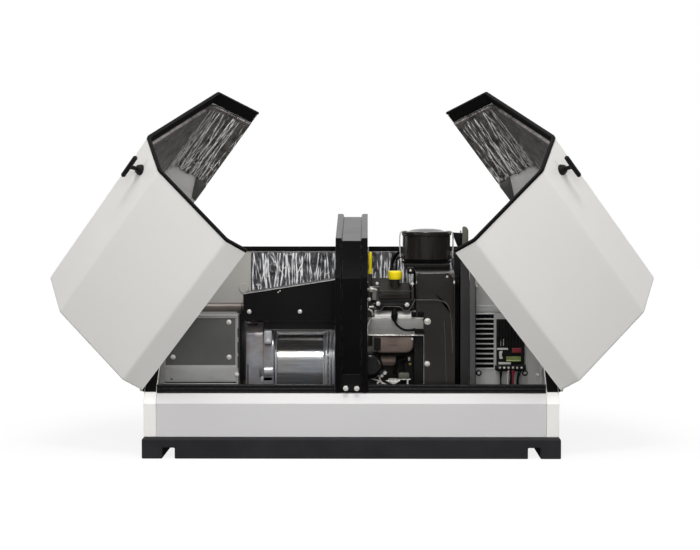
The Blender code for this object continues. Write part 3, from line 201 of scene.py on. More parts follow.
# A mesh of one or more patches. Doubled points are merged, faces turned outwards; an open sheet faces
# away from `facing` and may be thickened inwards.
def makePiece(name, patches, finish, body="cabinet", node=None, slot=None, sharp=38, sheet=0.0, uv=None,
              facing=None, crease=None):
    points = np.vstack([p for p, _ in patches])
    starts = np.cumsum([0] + [len(p) for p, _ in patches[:-1]])
    quads = np.vstack([q + s for (_, q), s in zip(patches, starts)])
    mesh = bpy.data.meshes.new(name)
    mesh.from_pydata(points.tolist(), [], quads.tolist())
    if uv is not None:
        layer = mesh.uv_layers.new(name="sheetPlace")
        layer.data.foreach_set("uv", np.asarray(uv, np.float32).reshape(-1, 2)[quads.ravel()].ravel())
    if crease is not None:
        mesh.attributes.new("crease", "FLOAT", "POINT").data.foreach_set("value",
            np.asarray(crease, np.float32))
    build = bmesh.new()
    build.from_mesh(mesh)
    bmesh.ops.remove_doubles(build, verts=build.verts, dist=2e-6)
    bmesh.ops.dissolve_degenerate(build, edges=build.edges, dist=1e-6)
    if facing is None:
        bmesh.ops.recalc_face_normals(build, faces=build.faces)
    else:
        build.normal_update()
        lean = sum(f.normal.dot(f.calc_center_median() - Vector(facing)) * f.calc_area() for f in build.faces)
        if lean < 0:
            bmesh.ops.reverse_faces(build, faces=build.faces)
    build.to_mesh(mesh)
    rims = [edge.index for edge in build.edges if edge.is_boundary]
    build.free()
    mesh.shade_smooth()
    mesh.set_sharp_from_angle(angle=math.radians(sharp))
    for index in rims:
        mesh.edges[index].use_edge_sharp = True
    obj = bpy.data.objects.new(name, mesh)
    bpy.context.scene.collection.objects.link(obj)
    if sheet:
        thicken = obj.modifiers.new("thickness", "SOLIDIFY")
        thicken.thickness, thicken.offset = sheet, -1
    return placePiece(obj, finish, body, node)


# A small piece on the cabinet, in one of the finishes.
def detail(name, patches, finish, like, **options):
    return makePiece(name, patches, finishes[finish], slot=slotOf[like], **options)


def addBevel(obj, width, angle=34, segments=2):
    rounding = obj.modifiers.new("edges", "BEVEL")
    rounding.width, rounding.segments = width, segments
    rounding.limit_method, rounding.angle_limit = "ANGLE", math.radians(angle)
    rounding.harden_normals = True


# A merged copy of a CAD node with rounded edges and smooth round faces, which stands for it.
def finePiece(node, finish, bevel=0.001, angle=34, segments=2):
    mesh = frame["nodes"][node].data.copy()
    mesh.name = node + "Fine"
    build = bmesh.new()
    build.from_mesh(mesh)
    bmesh.ops.remove_doubles(build, verts=build.verts, dist=2e-5)
    bmesh.ops.dissolve_limit(build, angle_limit=math.radians(0.5), verts=build.verts, edges=build.edges)
    build.to_mesh(mesh)
    build.free()
    for layer in ("custom_normal", "sharp_edge", "sharp_face"):
        if layer in mesh.attributes:
            mesh.attributes.remove(mesh.attributes[layer])
    mesh.shade_smooth()
    mesh.set_sharp_from_angle(angle=math.radians(angle))
    obj = bpy.data.objects.new(node + "Fine", mesh)
    bpy.context.scene.collection.objects.link(obj)
    if bevel:
        addBevel(obj, bevel, angle, segments)
    return placePiece(obj, finish, bodyOf[node], node)


# Node groups: each holds one effect that several finishes share.
def newGroup(name, inputs, outputs):
    tree = bpy.data.node_groups.new(name, "ShaderNodeTree")
    for label, kind, value in inputs:
        socket = tree.interface.new_socket(label, in_out="INPUT", socket_type=kind)
        socket.default_value = value
    for label in outputs:
        tree.interface.new_socket(label, in_out="OUTPUT", socket_type="NodeSocketFloat")
    return tree, tree.nodes.new("NodeGroupInput"), tree.nodes.new("NodeGroupOutput")


# A node with its properties set and its inputs either linked to a socket or given a value.
def node(tree, kind, links=(), **values):
    made = tree.nodes.new(kind)
    for key, value in values.items():
        setattr(made, key, value)
    for key, value in dict(links).items():
        if isinstance(value, bpy.types.NodeSocket):
            tree.links.new(value, made.inputs[key])
        else:
            made.inputs[key].default_value = value
    return made


def calc(tree, operation, a, b=0.0, clamp=False):
    return node(tree, "ShaderNodeMath", {0: a, 1: b}, operation=operation, use_clamp=clamp).outputs[0]


def ranged(tree, value, low, high, toLow=0.0, toHigh=1.0, smooth=False):
    made = node(tree, "ShaderNodeMapRange", {"Value": value, "From Min": low, "From Max": high,
                                             "To Min": toLow, "To Max": toHigh})
    if smooth:
        made.interpolation_type = "SMOOTHSTEP"
    return made.outputs[0]


def noise(tree, place, scale, detail=2.0, roughness=0.5):
    return node(tree, "ShaderNodeTexNoise", {"Vector": place, "Scale": scale, "Detail": detail,
                                             "Roughness": roughness}).outputs[0]


floatKind, vectorKind = "NodeSocketFloat", "NodeSocketVector"


# Fine grain of a coating, and slow drifts of its shade.
def coatGrainGroup():
    tree, given, out = newGroup("coatGrain", [("Grain", floatKind, 700.0), ("Drift", floatKind, 4.0)],
                                ["Height", "Shade"])
    place = node(tree, "ShaderNodeTexCoord").outputs["Object"]
    fine = noise(tree, place, given.outputs["Grain"], 3.0, 0.6)
    slow = noise(tree, place, given.outputs["Drift"], 4.0, 0.55)
    tree.links.new(fine, out.inputs["Height"])
    tree.links.new(ranged(tree, slow, 0.3, 0.7), out.inputs["Shade"])
    return tree


# Edges: where a rounded normal leaves the true one, broken up by noise.
def edgeWearGroup():
    tree, given, out = newGroup("edgeWear", [("Radius", floatKind, 0.0015), ("Bite", floatKind, 1.0)],
        ["Mask"])
    rounded = node(tree, "ShaderNodeBevel", {"Radius": given.outputs["Radius"]}, samples=3).outputs[0]
    true = node(tree, "ShaderNodeNewGeometry").outputs["Normal"]
    same = node(tree, "ShaderNodeVectorMath", {0: rounded, 1: true}, operation="DOT_PRODUCT").outputs["Value"]
    place = node(tree, "ShaderNodeTexCoord").outputs["Object"]
    broken = ranged(tree, noise(tree, place, 90.0, 4.0, 0.65), 0.42, 0.62)
    edge = ranged(tree, calc(tree, "SUBTRACT", 1.0, same), 0.02, 0.18)
    worn = calc(tree, "MULTIPLY", calc(tree, "MULTIPLY", edge, broken), given.outputs["Bite"], True)
    tree.links.new(worn, out.inputs["Mask"])
    return tree


# Dust: thicker on faces that look up, in soft patches.
def dustGroup():
    tree, given, out = newGroup("settledDust", [("Amount", floatKind, 0.3)], ["Mask"])
    normal = node(tree, "ShaderNodeNewGeometry").outputs["Normal"]
    up = node(tree, "ShaderNodeSeparateXYZ", {0: normal}).outputs["Z"]
    place = node(tree, "ShaderNodeTexCoord").outputs["Object"]
    patches = ranged(tree, noise(tree, place, 22.0, 5.0, 0.6), 0.35, 0.75)
    fall = calc(tree, "MULTIPLY", ranged(tree, up, 0.1, 1.0), patches)
    tree.links.new(calc(tree, "MULTIPLY", fall, given.outputs["Amount"], True), out.inputs["Mask"])
    return tree


# Tool marks: noise drawn out along one direction by the stretch of its place.
def brushGroup():
    tree, given, out = newGroup("toolMarks", [("Place", vectorKind, (0, 0, 0)), ("Stretch", vectorKind,
        (1, 1, 1))], ["Height", "Shade"])
    drawn = node(tree, "ShaderNodeVectorMath", {0: given.outputs["Place"], 1: given.outputs["Stretch"]},
                 operation="MULTIPLY").outputs[0]
    tree.links.new(noise(tree, drawn, 1.0, 4.0, 0.7), out.inputs["Height"])
    tree.links.new(ranged(tree, noise(tree, drawn, 0.21, 3.0, 0.6), 0.3, 0.7), out.inputs["Shade"])
    return tree


# Sand-cast skin: small rounded pits over a wandering surface.
def castGroup():
    tree, given, out = newGroup("castSkin", [("Scale", floatKind, 420.0)], ["Height", "Shade"])
    place = node(tree, "ShaderNodeTexCoord").outputs["Object"]
    pits = node(tree, "ShaderNodeTexVoronoi", {"Vector": place,
        "Scale": given.outputs["Scale"]}).outputs["Distance"]
    wander = noise(tree, place, 60.0, 4.0, 0.6)
    tree.links.new(calc(tree, "ADD", calc(tree, "MULTIPLY", pits, 0.35), wander), out.inputs["Height"])
    tree.links.new(ranged(tree, noise(tree, place, 14.0, 4.0, 0.6), 0.3, 0.7), out.inputs["Shade"])
    return tree


# Foil between its creases: fine crinkles drawn out along the sheet, as bumps and as the mask of a painted
# highlight on their ridges, and patches of duller metal.
def foilGroup():
    tree, given, out = newGroup("foilSkin", [("Place", vectorKind, (0, 0, 0)), ("Stretch", vectorKind,
        (60, 240, 1))], ["Crinkle", "Height", "Tone"])
    place = given.outputs["Place"]
    drawn = node(tree, "ShaderNodeVectorMath", {0: place, 1: given.outputs["Stretch"]},
        operation="MULTIPLY").outputs[0]
    cells = node(tree, "ShaderNodeTexVoronoi", {"Vector": drawn, "Scale": 1.0}, feature="DISTANCE_TO_EDGE")
    ridge = ranged(tree, cells.outputs["Distance"], 0.0, 0.16, 1.0, 0.0)
    broken = ranged(tree, noise(tree, drawn, 0.8, 3.0), 0.5, 0.72)
    small = noise(tree, drawn, 2.2, 4.0, 0.7)
    tree.links.new(calc(tree, "MULTIPLY", ridge, broken), out.inputs["Crinkle"])
    tree.links.new(calc(tree, "ADD", calc(tree, "MULTIPLY", ridge, 0.4), small), out.inputs["Height"])
    tree.links.new(ranged(tree, noise(tree, place, 26.0, 4.0, 0.65), 0.35, 0.65), out.inputs["Tone"])
    return tree


groups = {"grain": coatGrainGroup(), "wear": edgeWearGroup(), "dust": dustGroup(), "marks": brushGroup(),
          "cast": castGroup(), "foil": foilGroup()}


def useGroup(tree, name, links=()):
    return node(tree, "ShaderNodeGroup", links, node_tree=groups[name]).outputs


def mixed(tree, share, a, b):
    made = node(tree, "ShaderNodeMix", data_type="RGBA")
    for key, value in ((0, share), (6, a), (7, b)):
        if isinstance(value, bpy.types.NodeSocket):
            tree.links.new(value, made.inputs[key])
        else:
            made.inputs[key].default_value = (*value, 1.0) if key else value
    return made.outputs[2]


# An empty finish with the values that are the same all over set on the shader itself.
def startFinish(name, look):
    made = bpy.data.materials.new(name)
    made.use_nodes = True
    tree = made.node_tree
    shader = tree.nodes["Principled BSDF"]
    fixed = {"metallic": "Metallic", "specular": "Specular IOR Level", "coat": "Coat Weight",
             "coatRough": "Coat Roughness", "sheen": "Sheen Weight"}
    for key, socket in fixed.items():
        if key in look:
            shader.inputs[socket].default_value = look[key]
    made.diffuse_color = (*look["base"], 1.0)
    return made, tree, shader


def bumped(tree, shader, height, distance, strength=1.0):
    bump = node(tree, "ShaderNodeBump", {"Height": height, "Distance": distance, "Strength": strength})
    tree.links.new(bump.outputs[0], shader.inputs["Normal"])


# Painted, moulded, rubber or cast: shade drifts between two colours, edges wear, dust settles.
def coatFinish(name, look):
    made, tree, shader = startFinish(name, look)
    if look.get("skin") == "cast":
        out = useGroup(tree, "cast", {"Scale": look["grain"]})
    else:
        out = useGroup(tree, "grain", {"Grain": look["grain"], "Drift": look.get("drift", 4.0)})
    colour = mixed(tree, out["Shade"], look["base"], look["second"])
    if "worn" in look:
        mask = useGroup(tree, "wear", {"Radius": look.get("wearRadius", 0.0015),
            "Bite": look["wear"]})["Mask"]
        colour = mixed(tree, mask, colour, look["worn"])
    if "dust" in look:
        mask = useGroup(tree, "dust", {"Amount": look["dust"]})["Mask"]
        colour = mixed(tree, mask, colour, look.get("dustColour", (0.30, 0.28, 0.25)))
    tree.links.new(colour, shader.inputs["Base Color"])
    low, high = look["rough"]
    tree.links.new(ranged(tree, out["Shade"], 0.0, 1.0, low, high), shader.inputs["Roughness"])
    bumped(tree, shader, out["Height"], look["depth"])
    return made


# Machined or drawn metal: tool marks along one direction, and a tint that comes and goes.
def metalFinish(name, look):
    made, tree, shader = startFinish(name, look)
    place = node(tree, "ShaderNodeTexCoord").outputs["Object"]
    out = useGroup(tree, "marks", {"Place": place, "Stretch": look["stretch"]})
    tint = ranged(tree, noise(tree, place, look.get("tintScale", 9.0), 4.0, 0.6), 0.35, 0.7)
    colour = mixed(tree, tint, mixed(tree, out["Shade"], look["base"], look["second"]), look["tint"])
    tree.links.new(colour, shader.inputs["Base Color"])
    low, high = look["rough"]
    tree.links.new(ranged(tree, out["Shade"], 0.0, 1.0, low, high), shader.inputs["Roughness"])
    bumped(tree, shader, out["Height"], look["depth"])
    return made


# Foil face: dull metal between creases painted near-white as a painted highlight, whose strength comes with the
# sheet; the lid's bare patch takes the same near-white for its paint.
def foilFinish(name, look):
    made, tree, shader = startFinish(name, look)
    place = node(tree, "ShaderNodeUVMap", uv_map="sheetPlace").outputs[0]
    out = useGroup(tree, "foil", {"Place": place, "Stretch": look["stretched"]})
    crease = node(tree, "ShaderNodeAttribute", attribute_name="crease").outputs["Fac"]
    bare = ranged(tree, crease, -0.9, -1.1)
    crinkle = calc(tree, "MULTIPLY", out["Crinkle"], look["crinkle"])
    glintAndBare = calc(tree, "MAXIMUM", calc(tree, "MAXIMUM", ranged(tree, crease, 0.22, 0.55), crinkle), bare)
    ground = mixed(tree, out["Tone"], look["base"], look["second"])
    tree.links.new(mixed(tree, glintAndBare, ground, look["bright"]), shader.inputs["Base Color"])
    tree.links.new(ranged(tree, glintAndBare, 0.0, 1.0, 0.8, 0.0), shader.inputs["Metallic"])
    low, high = look["rough"]
    tree.links.new(ranged(tree, out["Tone"], 0.0, 1.0, low, high), shader.inputs["Roughness"])
    bumped(tree, shader, out["Height"], look["depth"])
    return made


looks = {
    "whiteCoat": dict(base=(0.91, 0.895, 0.865), second=(0.885, 0.87, 0.84), rough=(0.36, 0.44),
        grain=620.0, drift=2.2, depth=0.00012, specular=0.4, worn=(0.62, 0.60, 0.57), wear=0.12),
    # The front panel's paint: a darker, cooler copy of the lids' white; the darkness is painted shade for the
    # lower light on the body.
    "bodyCoat": dict(base=(0.65, 0.64, 0.64), second=(0.63, 0.62, 0.62), rough=(0.36, 0.44), grain=620.0,
        drift=2.2, depth=0.00012, specular=0.4, worn=(0.55, 0.54, 0.53), wear=0.12),
    "bareWhite": dict(base=(0.50, 0.485, 0.455), second=(0.46, 0.445, 0.415), rough=(0.45, 0.55),
        grain=520.0, drift=6.0, depth=0.00015, dust=0.05),
    "blackCoat": dict(base=(0.004, 0.004, 0.0043), second=(0.007, 0.0068, 0.007), rough=(0.26, 0.36),
        grain=520.0, depth=0.00012, specular=0.16, worn=(0.11, 0.107, 0.105), wear=0.6, dust=0.008),
    # The arch's lighter worn edges are partly wear and partly a painted highlight along its folds.
    "archCoat": dict(base=(0.003, 0.003, 0.0033), second=(0.005, 0.0048, 0.005), rough=(0.16, 0.24),
        grain=520.0, depth=0.00008, specular=0.06, worn=(0.10, 0.097, 0.095), wear=0.5),
    # Black moulding: the colour of moulded parts, and of black plates which are painted shade in slits, slots and
    # openings.
    "blackMould": dict(base=(0.006, 0.006, 0.006), second=(0.010, 0.0096, 0.0094), rough=(0.36, 0.5),
        grain=900.0, depth=0.0001, specular=0.18, worn=(0.08, 0.078, 0.076), wear=0.5, dust=0.012),
    "brownMould": dict(base=(0.014, 0.012, 0.0105), second=(0.022, 0.0185, 0.016), rough=(0.27, 0.42),
        grain=800.0, depth=0.0001, specular=0.30, worn=(0.10, 0.09, 0.08), wear=0.5, dust=0.02),
    "brownGloss": dict(base=(0.012, 0.0105, 0.0095), second=(0.018, 0.0155, 0.0135), rough=(0.15, 0.24),
        grain=500.0, depth=0.00005, specular=0.6, worn=(0.10, 0.09, 0.08), wear=0.5, dust=0.02),
    # Black foam: the seals' own colour, and that of black sheets which are painted shade behind openings.
    "foam": dict(base=(0.005, 0.005, 0.005), second=(0.008, 0.008, 0.008), rough=(0.85, 0.95), grain=1500.0,
        depth=0.0004, specular=0.12),
    "rubber": dict(base=(0.004, 0.004, 0.004), second=(0.007, 0.007, 0.007), rough=(0.5, 0.7), grain=1100.0,
        depth=0.0001, specular=0.10, dust=0.008),
    "padComposite": dict(base=(0.016, 0.016, 0.018), second=(0.026, 0.026, 0.029), rough=(0.6, 0.8),
        grain=380.0, drift=9.0, depth=0.0005, specular=0.2, worn=(0.07, 0.07, 0.075), wear=0.6, dust=0.04,
        wearRadius=0.003),
    "greySheet": dict(base=(0.33, 0.33, 0.32), second=(0.42, 0.42, 0.405), rough=(0.38, 0.55), grain=480.0,
        drift=7.0, depth=0.0001, metallic=0.1, worn=(0.60, 0.60, 0.58), wear=0.5, dust=0.2),
    # Grey plate: the tail bracket's colour, and that of thin beads which are painted highlights on the edges of
    # black parts.
    "greyPlate": dict(base=(0.13, 0.13, 0.125), second=(0.19, 0.188, 0.18), rough=(0.42, 0.6), grain=480.0,
        drift=9.0, depth=0.0001, metallic=0.35, worn=(0.4, 0.4, 0.38), wear=0.4, dust=0.2),
    "silencerSheet": dict(base=(0.275, 0.275, 0.268), second=(0.325, 0.323, 0.312), rough=(0.42, 0.55),
        grain=480.0, drift=7.0, depth=0.0001, worn=(0.80, 0.80, 0.77), wear=0.6, dust=0.1),
    "coverPlate": dict(base=(0.068, 0.068, 0.067), second=(0.100, 0.099, 0.097), rough=(0.40, 0.55),
        grain=480.0, drift=6.0, depth=0.0001, specular=0.4, worn=(0.3, 0.3, 0.28), wear=0.4, dust=0.05),
    "darkSheet": dict(base=(0.018, 0.0175, 0.018), second=(0.028, 0.027, 0.0275), rough=(0.4, 0.55),
        grain=480.0, drift=6.0, depth=0.0001, specular=0.3, worn=(0.2, 0.2, 0.2), wear=0.4),
    "midSheet": dict(base=(0.065, 0.063, 0.064), second=(0.090, 0.088, 0.088), rough=(0.4, 0.55),
        grain=480.0, drift=6.0, depth=0.0001, specular=0.3, worn=(0.3, 0.3, 0.3), wear=0.4),
    # Pale panel sheet: a lighter copy of the panel's grey, as painted highlight on the louvre lips.
    "panelPale": dict(base=(0.58, 0.58, 0.56), second=(0.66, 0.66, 0.64), rough=(0.4, 0.5), grain=480.0,
        drift=12.0, depth=0.00008),
    "blackGloss": dict(base=(0.004, 0.004, 0.0043), second=(0.006, 0.006, 0.006), rough=(0.16, 0.26),
        grain=300.0, depth=0.00005, specular=0.5, dust=0.01),
    # Pale brown: painted highlight lines along the blower's lip and shoulder.
    "brownPale": dict(base=(0.060, 0.054, 0.048), second=(0.085, 0.077, 0.068), rough=(0.28, 0.40),
        grain=800.0, drift=30.0, depth=0.00005, specular=0.6),
    "oliveGrey": dict(base=(0.085, 0.088, 0.070), second=(0.12, 0.122, 0.095), rough=(0.35, 0.5),
        grain=600.0, drift=30.0, depth=0.00008, worn=(0.3, 0.3, 0.25), wear=0.5),
    # Pale green: a lighter copy of the connector's green, as painted highlight.
    "greenPale": dict(base=(0.40, 0.50, 0.22), second=(0.48, 0.58, 0.28), rough=(0.35, 0.5), grain=700.0,
        drift=60.0, depth=0.00005),
    "castPale": dict(base=(0.52, 0.53, 0.56), second=(0.68, 0.68, 0.70), rough=(0.30, 0.45), skin="cast",
        grain=500.0, depth=0.0003, metallic=0.65, worn=(0.85, 0.85, 0.85), wear=0.5, dust=0.1,
        dustColour=(0.25, 0.20, 0.15)),
    # Bright tin: painted highlights on the shield's top edge and the blower's left edge, and painted light on the
    # cowl's top ledge.
    "tinBright": dict(base=(0.50, 0.49, 0.475), second=(0.60, 0.59, 0.57), tint=(0.42, 0.40, 0.38),
        rough=(0.3, 0.42), metallic=0.6, stretch=(50.0, 400.0, 400.0), depth=0.00003, tintScale=20.0),
    "bellMetal": dict(base=(0.34, 0.36, 0.42), second=(0.58, 0.59, 0.64), tint=(0.34, 0.26, 0.20),
        rough=(0.28, 0.42), metallic=0.75, stretch=(60.0, 60.0, 140.0), depth=0.00012, tintScale=11.0),
    "castGrey": dict(base=(0.34, 0.335, 0.33), second=(0.50, 0.49, 0.47), rough=(0.34, 0.52), skin="cast",
        grain=420.0, depth=0.0006, metallic=1.0, worn=(0.75, 0.74, 0.72), wear=0.5, dust=0.2,
        dustColour=(0.20, 0.15, 0.10)),
    "castDark": dict(base=(0.09, 0.088, 0.085), second=(0.19, 0.18, 0.17), rough=(0.38, 0.55), skin="cast",
        grain=420.0, depth=0.0006, metallic=0.9, worn=(0.5, 0.49, 0.47), wear=0.6, dust=0.3,
        dustColour=(0.12, 0.09, 0.06)),
    "yellowMould": dict(base=(0.97, 0.74, 0.008), second=(1.0, 0.80, 0.012), rough=(0.30, 0.42),
        grain=700.0, drift=30.0, depth=0.00008, specular=0.5, worn=(0.9, 0.8, 0.25), wear=0.3),
    "redMould": dict(base=(0.13, 0.008, 0.016), second=(0.20, 0.013, 0.02), rough=(0.35, 0.5), grain=700.0,
        drift=40.0, depth=0.00008),
    "greenMould": dict(base=(0.10, 0.13, 0.03), second=(0.15, 0.19, 0.05), rough=(0.35, 0.5), grain=700.0,
        drift=60.0, depth=0.00008),
    "paleLabel": dict(base=(0.50, 0.50, 0.47), second=(0.42, 0.42, 0.40), rough=(0.4, 0.55), grain=900.0,
        drift=80.0, depth=0.00004),
    "drawnSteel": dict(base=(0.40, 0.44, 0.53), second=(0.66, 0.70, 0.78), tint=(0.50, 0.47, 0.42),
        rough=(0.16, 0.26), metallic=0.88, stretch=(40.0, 900.0, 900.0), depth=0.00003),
    # Zinc: the screws' own colour, and that of the painted highlight beads on the cowl's edges.
    "zincScrew": dict(base=(0.84, 0.83, 0.80), second=(0.96, 0.95, 0.93), tint=(0.74, 0.70, 0.62),
        rough=(0.22, 0.34), metallic=0.45, stretch=(500.0, 500.0, 500.0), depth=0.00004, tintScale=60.0),
    "brass": dict(base=(0.55, 0.42, 0.14), second=(0.68, 0.54, 0.22), tint=(0.42, 0.30, 0.10),
        rough=(0.24, 0.38), metallic=1.0, stretch=(500.0, 500.0, 500.0), depth=0.00004, tintScale=60.0),
    "brownedPipe": dict(base=(0.20, 0.175, 0.16), second=(0.27, 0.24, 0.22), tint=(0.15, 0.12, 0.105),
        rough=(0.38, 0.52), metallic=0.75, stretch=(25.0, 420.0, 420.0), depth=0.00005, tintScale=12.0),
    "bronzeCowl": dict(base=(0.22, 0.165, 0.14), second=(0.30, 0.235, 0.20), tint=(0.14, 0.105, 0.09),
        rough=(0.26, 0.4), metallic=0.6, stretch=(60.0, 500.0, 500.0), depth=0.00004, tintScale=16.0),
    "cowlGrey": dict(base=(0.30, 0.29, 0.28), second=(0.37, 0.36, 0.345), tint=(0.24, 0.225, 0.215),
        rough=(0.3, 0.42), metallic=0.45, stretch=(50.0, 400.0, 400.0), depth=0.00004, tintScale=14.0),
    # Foils: the near-white on creases and crinkles is a painted highlight.
    "lidFoil": dict(base=(0.115, 0.102, 0.100), second=(0.42, 0.385, 0.375), bright=(0.99, 0.98, 0.97),
        rough=(0.26, 0.42), stretched=(260.0, 60.0, 1.0), crinkle=0.45, depth=0.0012),
    "wallFoil": dict(base=(0.090, 0.092, 0.102), second=(0.28, 0.282, 0.30), bright=(0.99, 0.99, 0.99),
        rough=(0.26, 0.42), stretched=(240.0, 70.0, 1.0), crinkle=0.8, depth=0.0012),
}
finishes = {}
for finishName, look in looks.items():
    maker = foilFinish if "bright" in look else metalFinish if "stretch" in look else coatFinish
    finishes[finishName] = maker(finishName, look)
print("finishes made:", len(finishes))


# Lids. A lid is drawn shut, as the frame's section run along X, and turned open about its hinge.
lid = dict(section=[(-0.3145, 0.1915), (-0.348, 0.248), (-0.333, 0.531), (-0.244, 0.647), (0.245, 0.7136),
    (0.331, 0.598)], rim=0.0215, end=0.608, sheet=0.003, bend=0.0065, corner=0.007, foilStart=0.06,
    foilDepth=0.0153, foilLow=0.411, longCreases=60, bareFrom=0.315, creaseHeight=0.0032, rearPart=0.165)


# The turn about the hinge, from shut to the rest pose, by Rodrigues' formula.
def openLid(points, label):
    hinge = jointNamed[label + "_lid_hinge"]
    axis = unit(np.array(hinge["axis"], float))
    angle = -math.radians(hinge["range_deg"][0])
    arm = points - np.array(hinge["pos_m"])
    turnedArm = (arm * math.cos(angle) + np.cross(axis, arm) * math.sin(angle)
                 + (arm @ axis)[..., None] * axis * (1 - math.cos(angle)))
    return turnedArm + np.array(hinge["pos_m"])


# At each point of a section, the direction into the lid: the tangent turned by a right angle.
def inwardNormals(line):
    tangent = unit(np.gradient(line, axis=0))
    return np.stack([tangent[:, 1], -tangent[:, 0]], 1)


# A closed section of (x, depth) points carried along a lid's line; its ends close to a point.
def runAlong(line, section, side):
    line, section = np.asarray(line, float), np.asarray(section, float)
    inward = inwardNormals(line)
    rings = line[:, None] + inward[:, None] * section[None, :, 1, None]
    grid = np.concatenate([np.broadcast_to(side * section[None, :, :1], (len(line), len(section), 1)),
        rings], 2)
    caps = [grid[:1].mean(1, keepdims=True), grid[-1:].mean(1, keepdims=True)]
    grid = np.concatenate([np.broadcast_to(caps[0], grid[:1].shape), grid,
                           np.broadcast_to(caps[1], grid[-1:].shape)])
    return patch(grid, closedColumns=True)


# The flat end of a lid: straight rows join each point of the line to its mate counted from the far end.
def panelAcross(line, x, columns):
    half = (len(line) + 1) // 2
    near, far = line[:half], line[::-1][:half]
    t = np.linspace(0, 1, columns)[None, :, None]
    flat = near[:, None] * (1 - t) + far[:, None] * t
    return np.insert(flat, 0, x, axis=2)


# Outer skin: the softened section along X, a quarter turn at the end, then the flat end panel.
def lidShell(label, side):
    line = held(softened(lid["section"], lid["bend"], 8))
    line = line if len(line) % 2 else np.vstack([line[:1], (line[:1] + line[1:2]) / 2, line[1:]])
    inward, corner = inwardNormals(line), lid["corner"]
    turn = np.linspace(0, math.pi / 2, 7)[1:]
    along = np.r_[np.linspace(lid["rim"], lid["end"] - corner - 0.003, 14), lid["end"] - corner]
    x = np.r_[along, lid["end"] - corner + corner * np.sin(turn)]
    depth = np.r_[along * 0, corner * (1 - np.cos(turn))]
    grid = line[None] + inward[None] * depth[:, None, None]
    grid = np.concatenate([np.broadcast_to(side * x[:, None, None], grid[..., :1].shape), grid], 2)
    panel = panelAcross(line + inward * corner, side * lid["end"], 12)
    patches = [patch(openLid(grid, label)), patch(openLid(panel, label))]
    middle = openLid(np.array([side * 0.3, 0.0, 0.42]), label)
    makePiece(label + "LidSkin", patches, finishes["whiteCoat"], label + "_lid", label + "_lid_shell",
              facing=middle, sheet=lid["sheet"], sharp=30)


# Edging pressed over the rim: a rounded bead carried along the section.
def lidTrim(label, side):
    line = softened(lid["section"], lid["bend"], 8)
    bead = softened([(lid["rim"] - 0.004, -0.0022), (lid["rim"] + 0.0045, -0.0022), (lid["rim"] + 0.0045,
        -0.0002), (lid["rim"] - 0.0004, -0.0002), (lid["rim"] - 0.0004, 0.0034), (lid["rim"] + 0.0004,
        0.0072), (lid["rim"] - 0.004, 0.0072)], 0.0012, 2, closed=True)
    points, quads = runAlong(line, bead, side)
    makePiece(label + "LidTrim", [(openLid(points, label), quads)], finishes["rubber"], label + "_lid",
              slot="black_rubber")


# Creases on a sheet with its own place (u, v): each runs along v with a lean and two slow waves, and falls
# off across it as a bell. Its strength fades at its ends and flutters along it. The strongest one shows.
def creased(u, v, seed, count, spanU, spanV, lean=0.06, reach=(0.5, 1.0), width=(0.0012, 0.0026), wander=0.004):
    draw = np.random.default_rng(seed)
    total = np.zeros_like(u)
    for k in range(count):
        centre = spanU[0] + (spanU[1] - spanU[0]) * (k + draw.uniform(0.1, 0.9)) / count
        middle, half = draw.uniform(*spanV), draw.uniform(*reach) * (spanV[1] - spanV[0]) / 2
        slope, thick = draw.normal(0.0, lean), draw.uniform(*width)
        waves, phase = draw.uniform((0.03, 0.011), (0.08, 0.024)), draw.uniform(0, 2 * math.pi, 4)
        along = v - middle
        line = centre + slope * along + wander * (np.sin(along / waves[0] + phase[0])
                                                  + 0.35 * np.sin(along / waves[1] + phase[1]))
        fade = np.clip((half - np.abs(along)) / 0.015, 0, 1)
        flutter = 0.62 + 0.38 * np.sin(along / 0.017 + phase[2]) * np.sin(along / 0.011 + phase[3])
        total = np.maximum(total, fade * flutter * np.exp(-((u - line) / thick) ** 2))
    return total


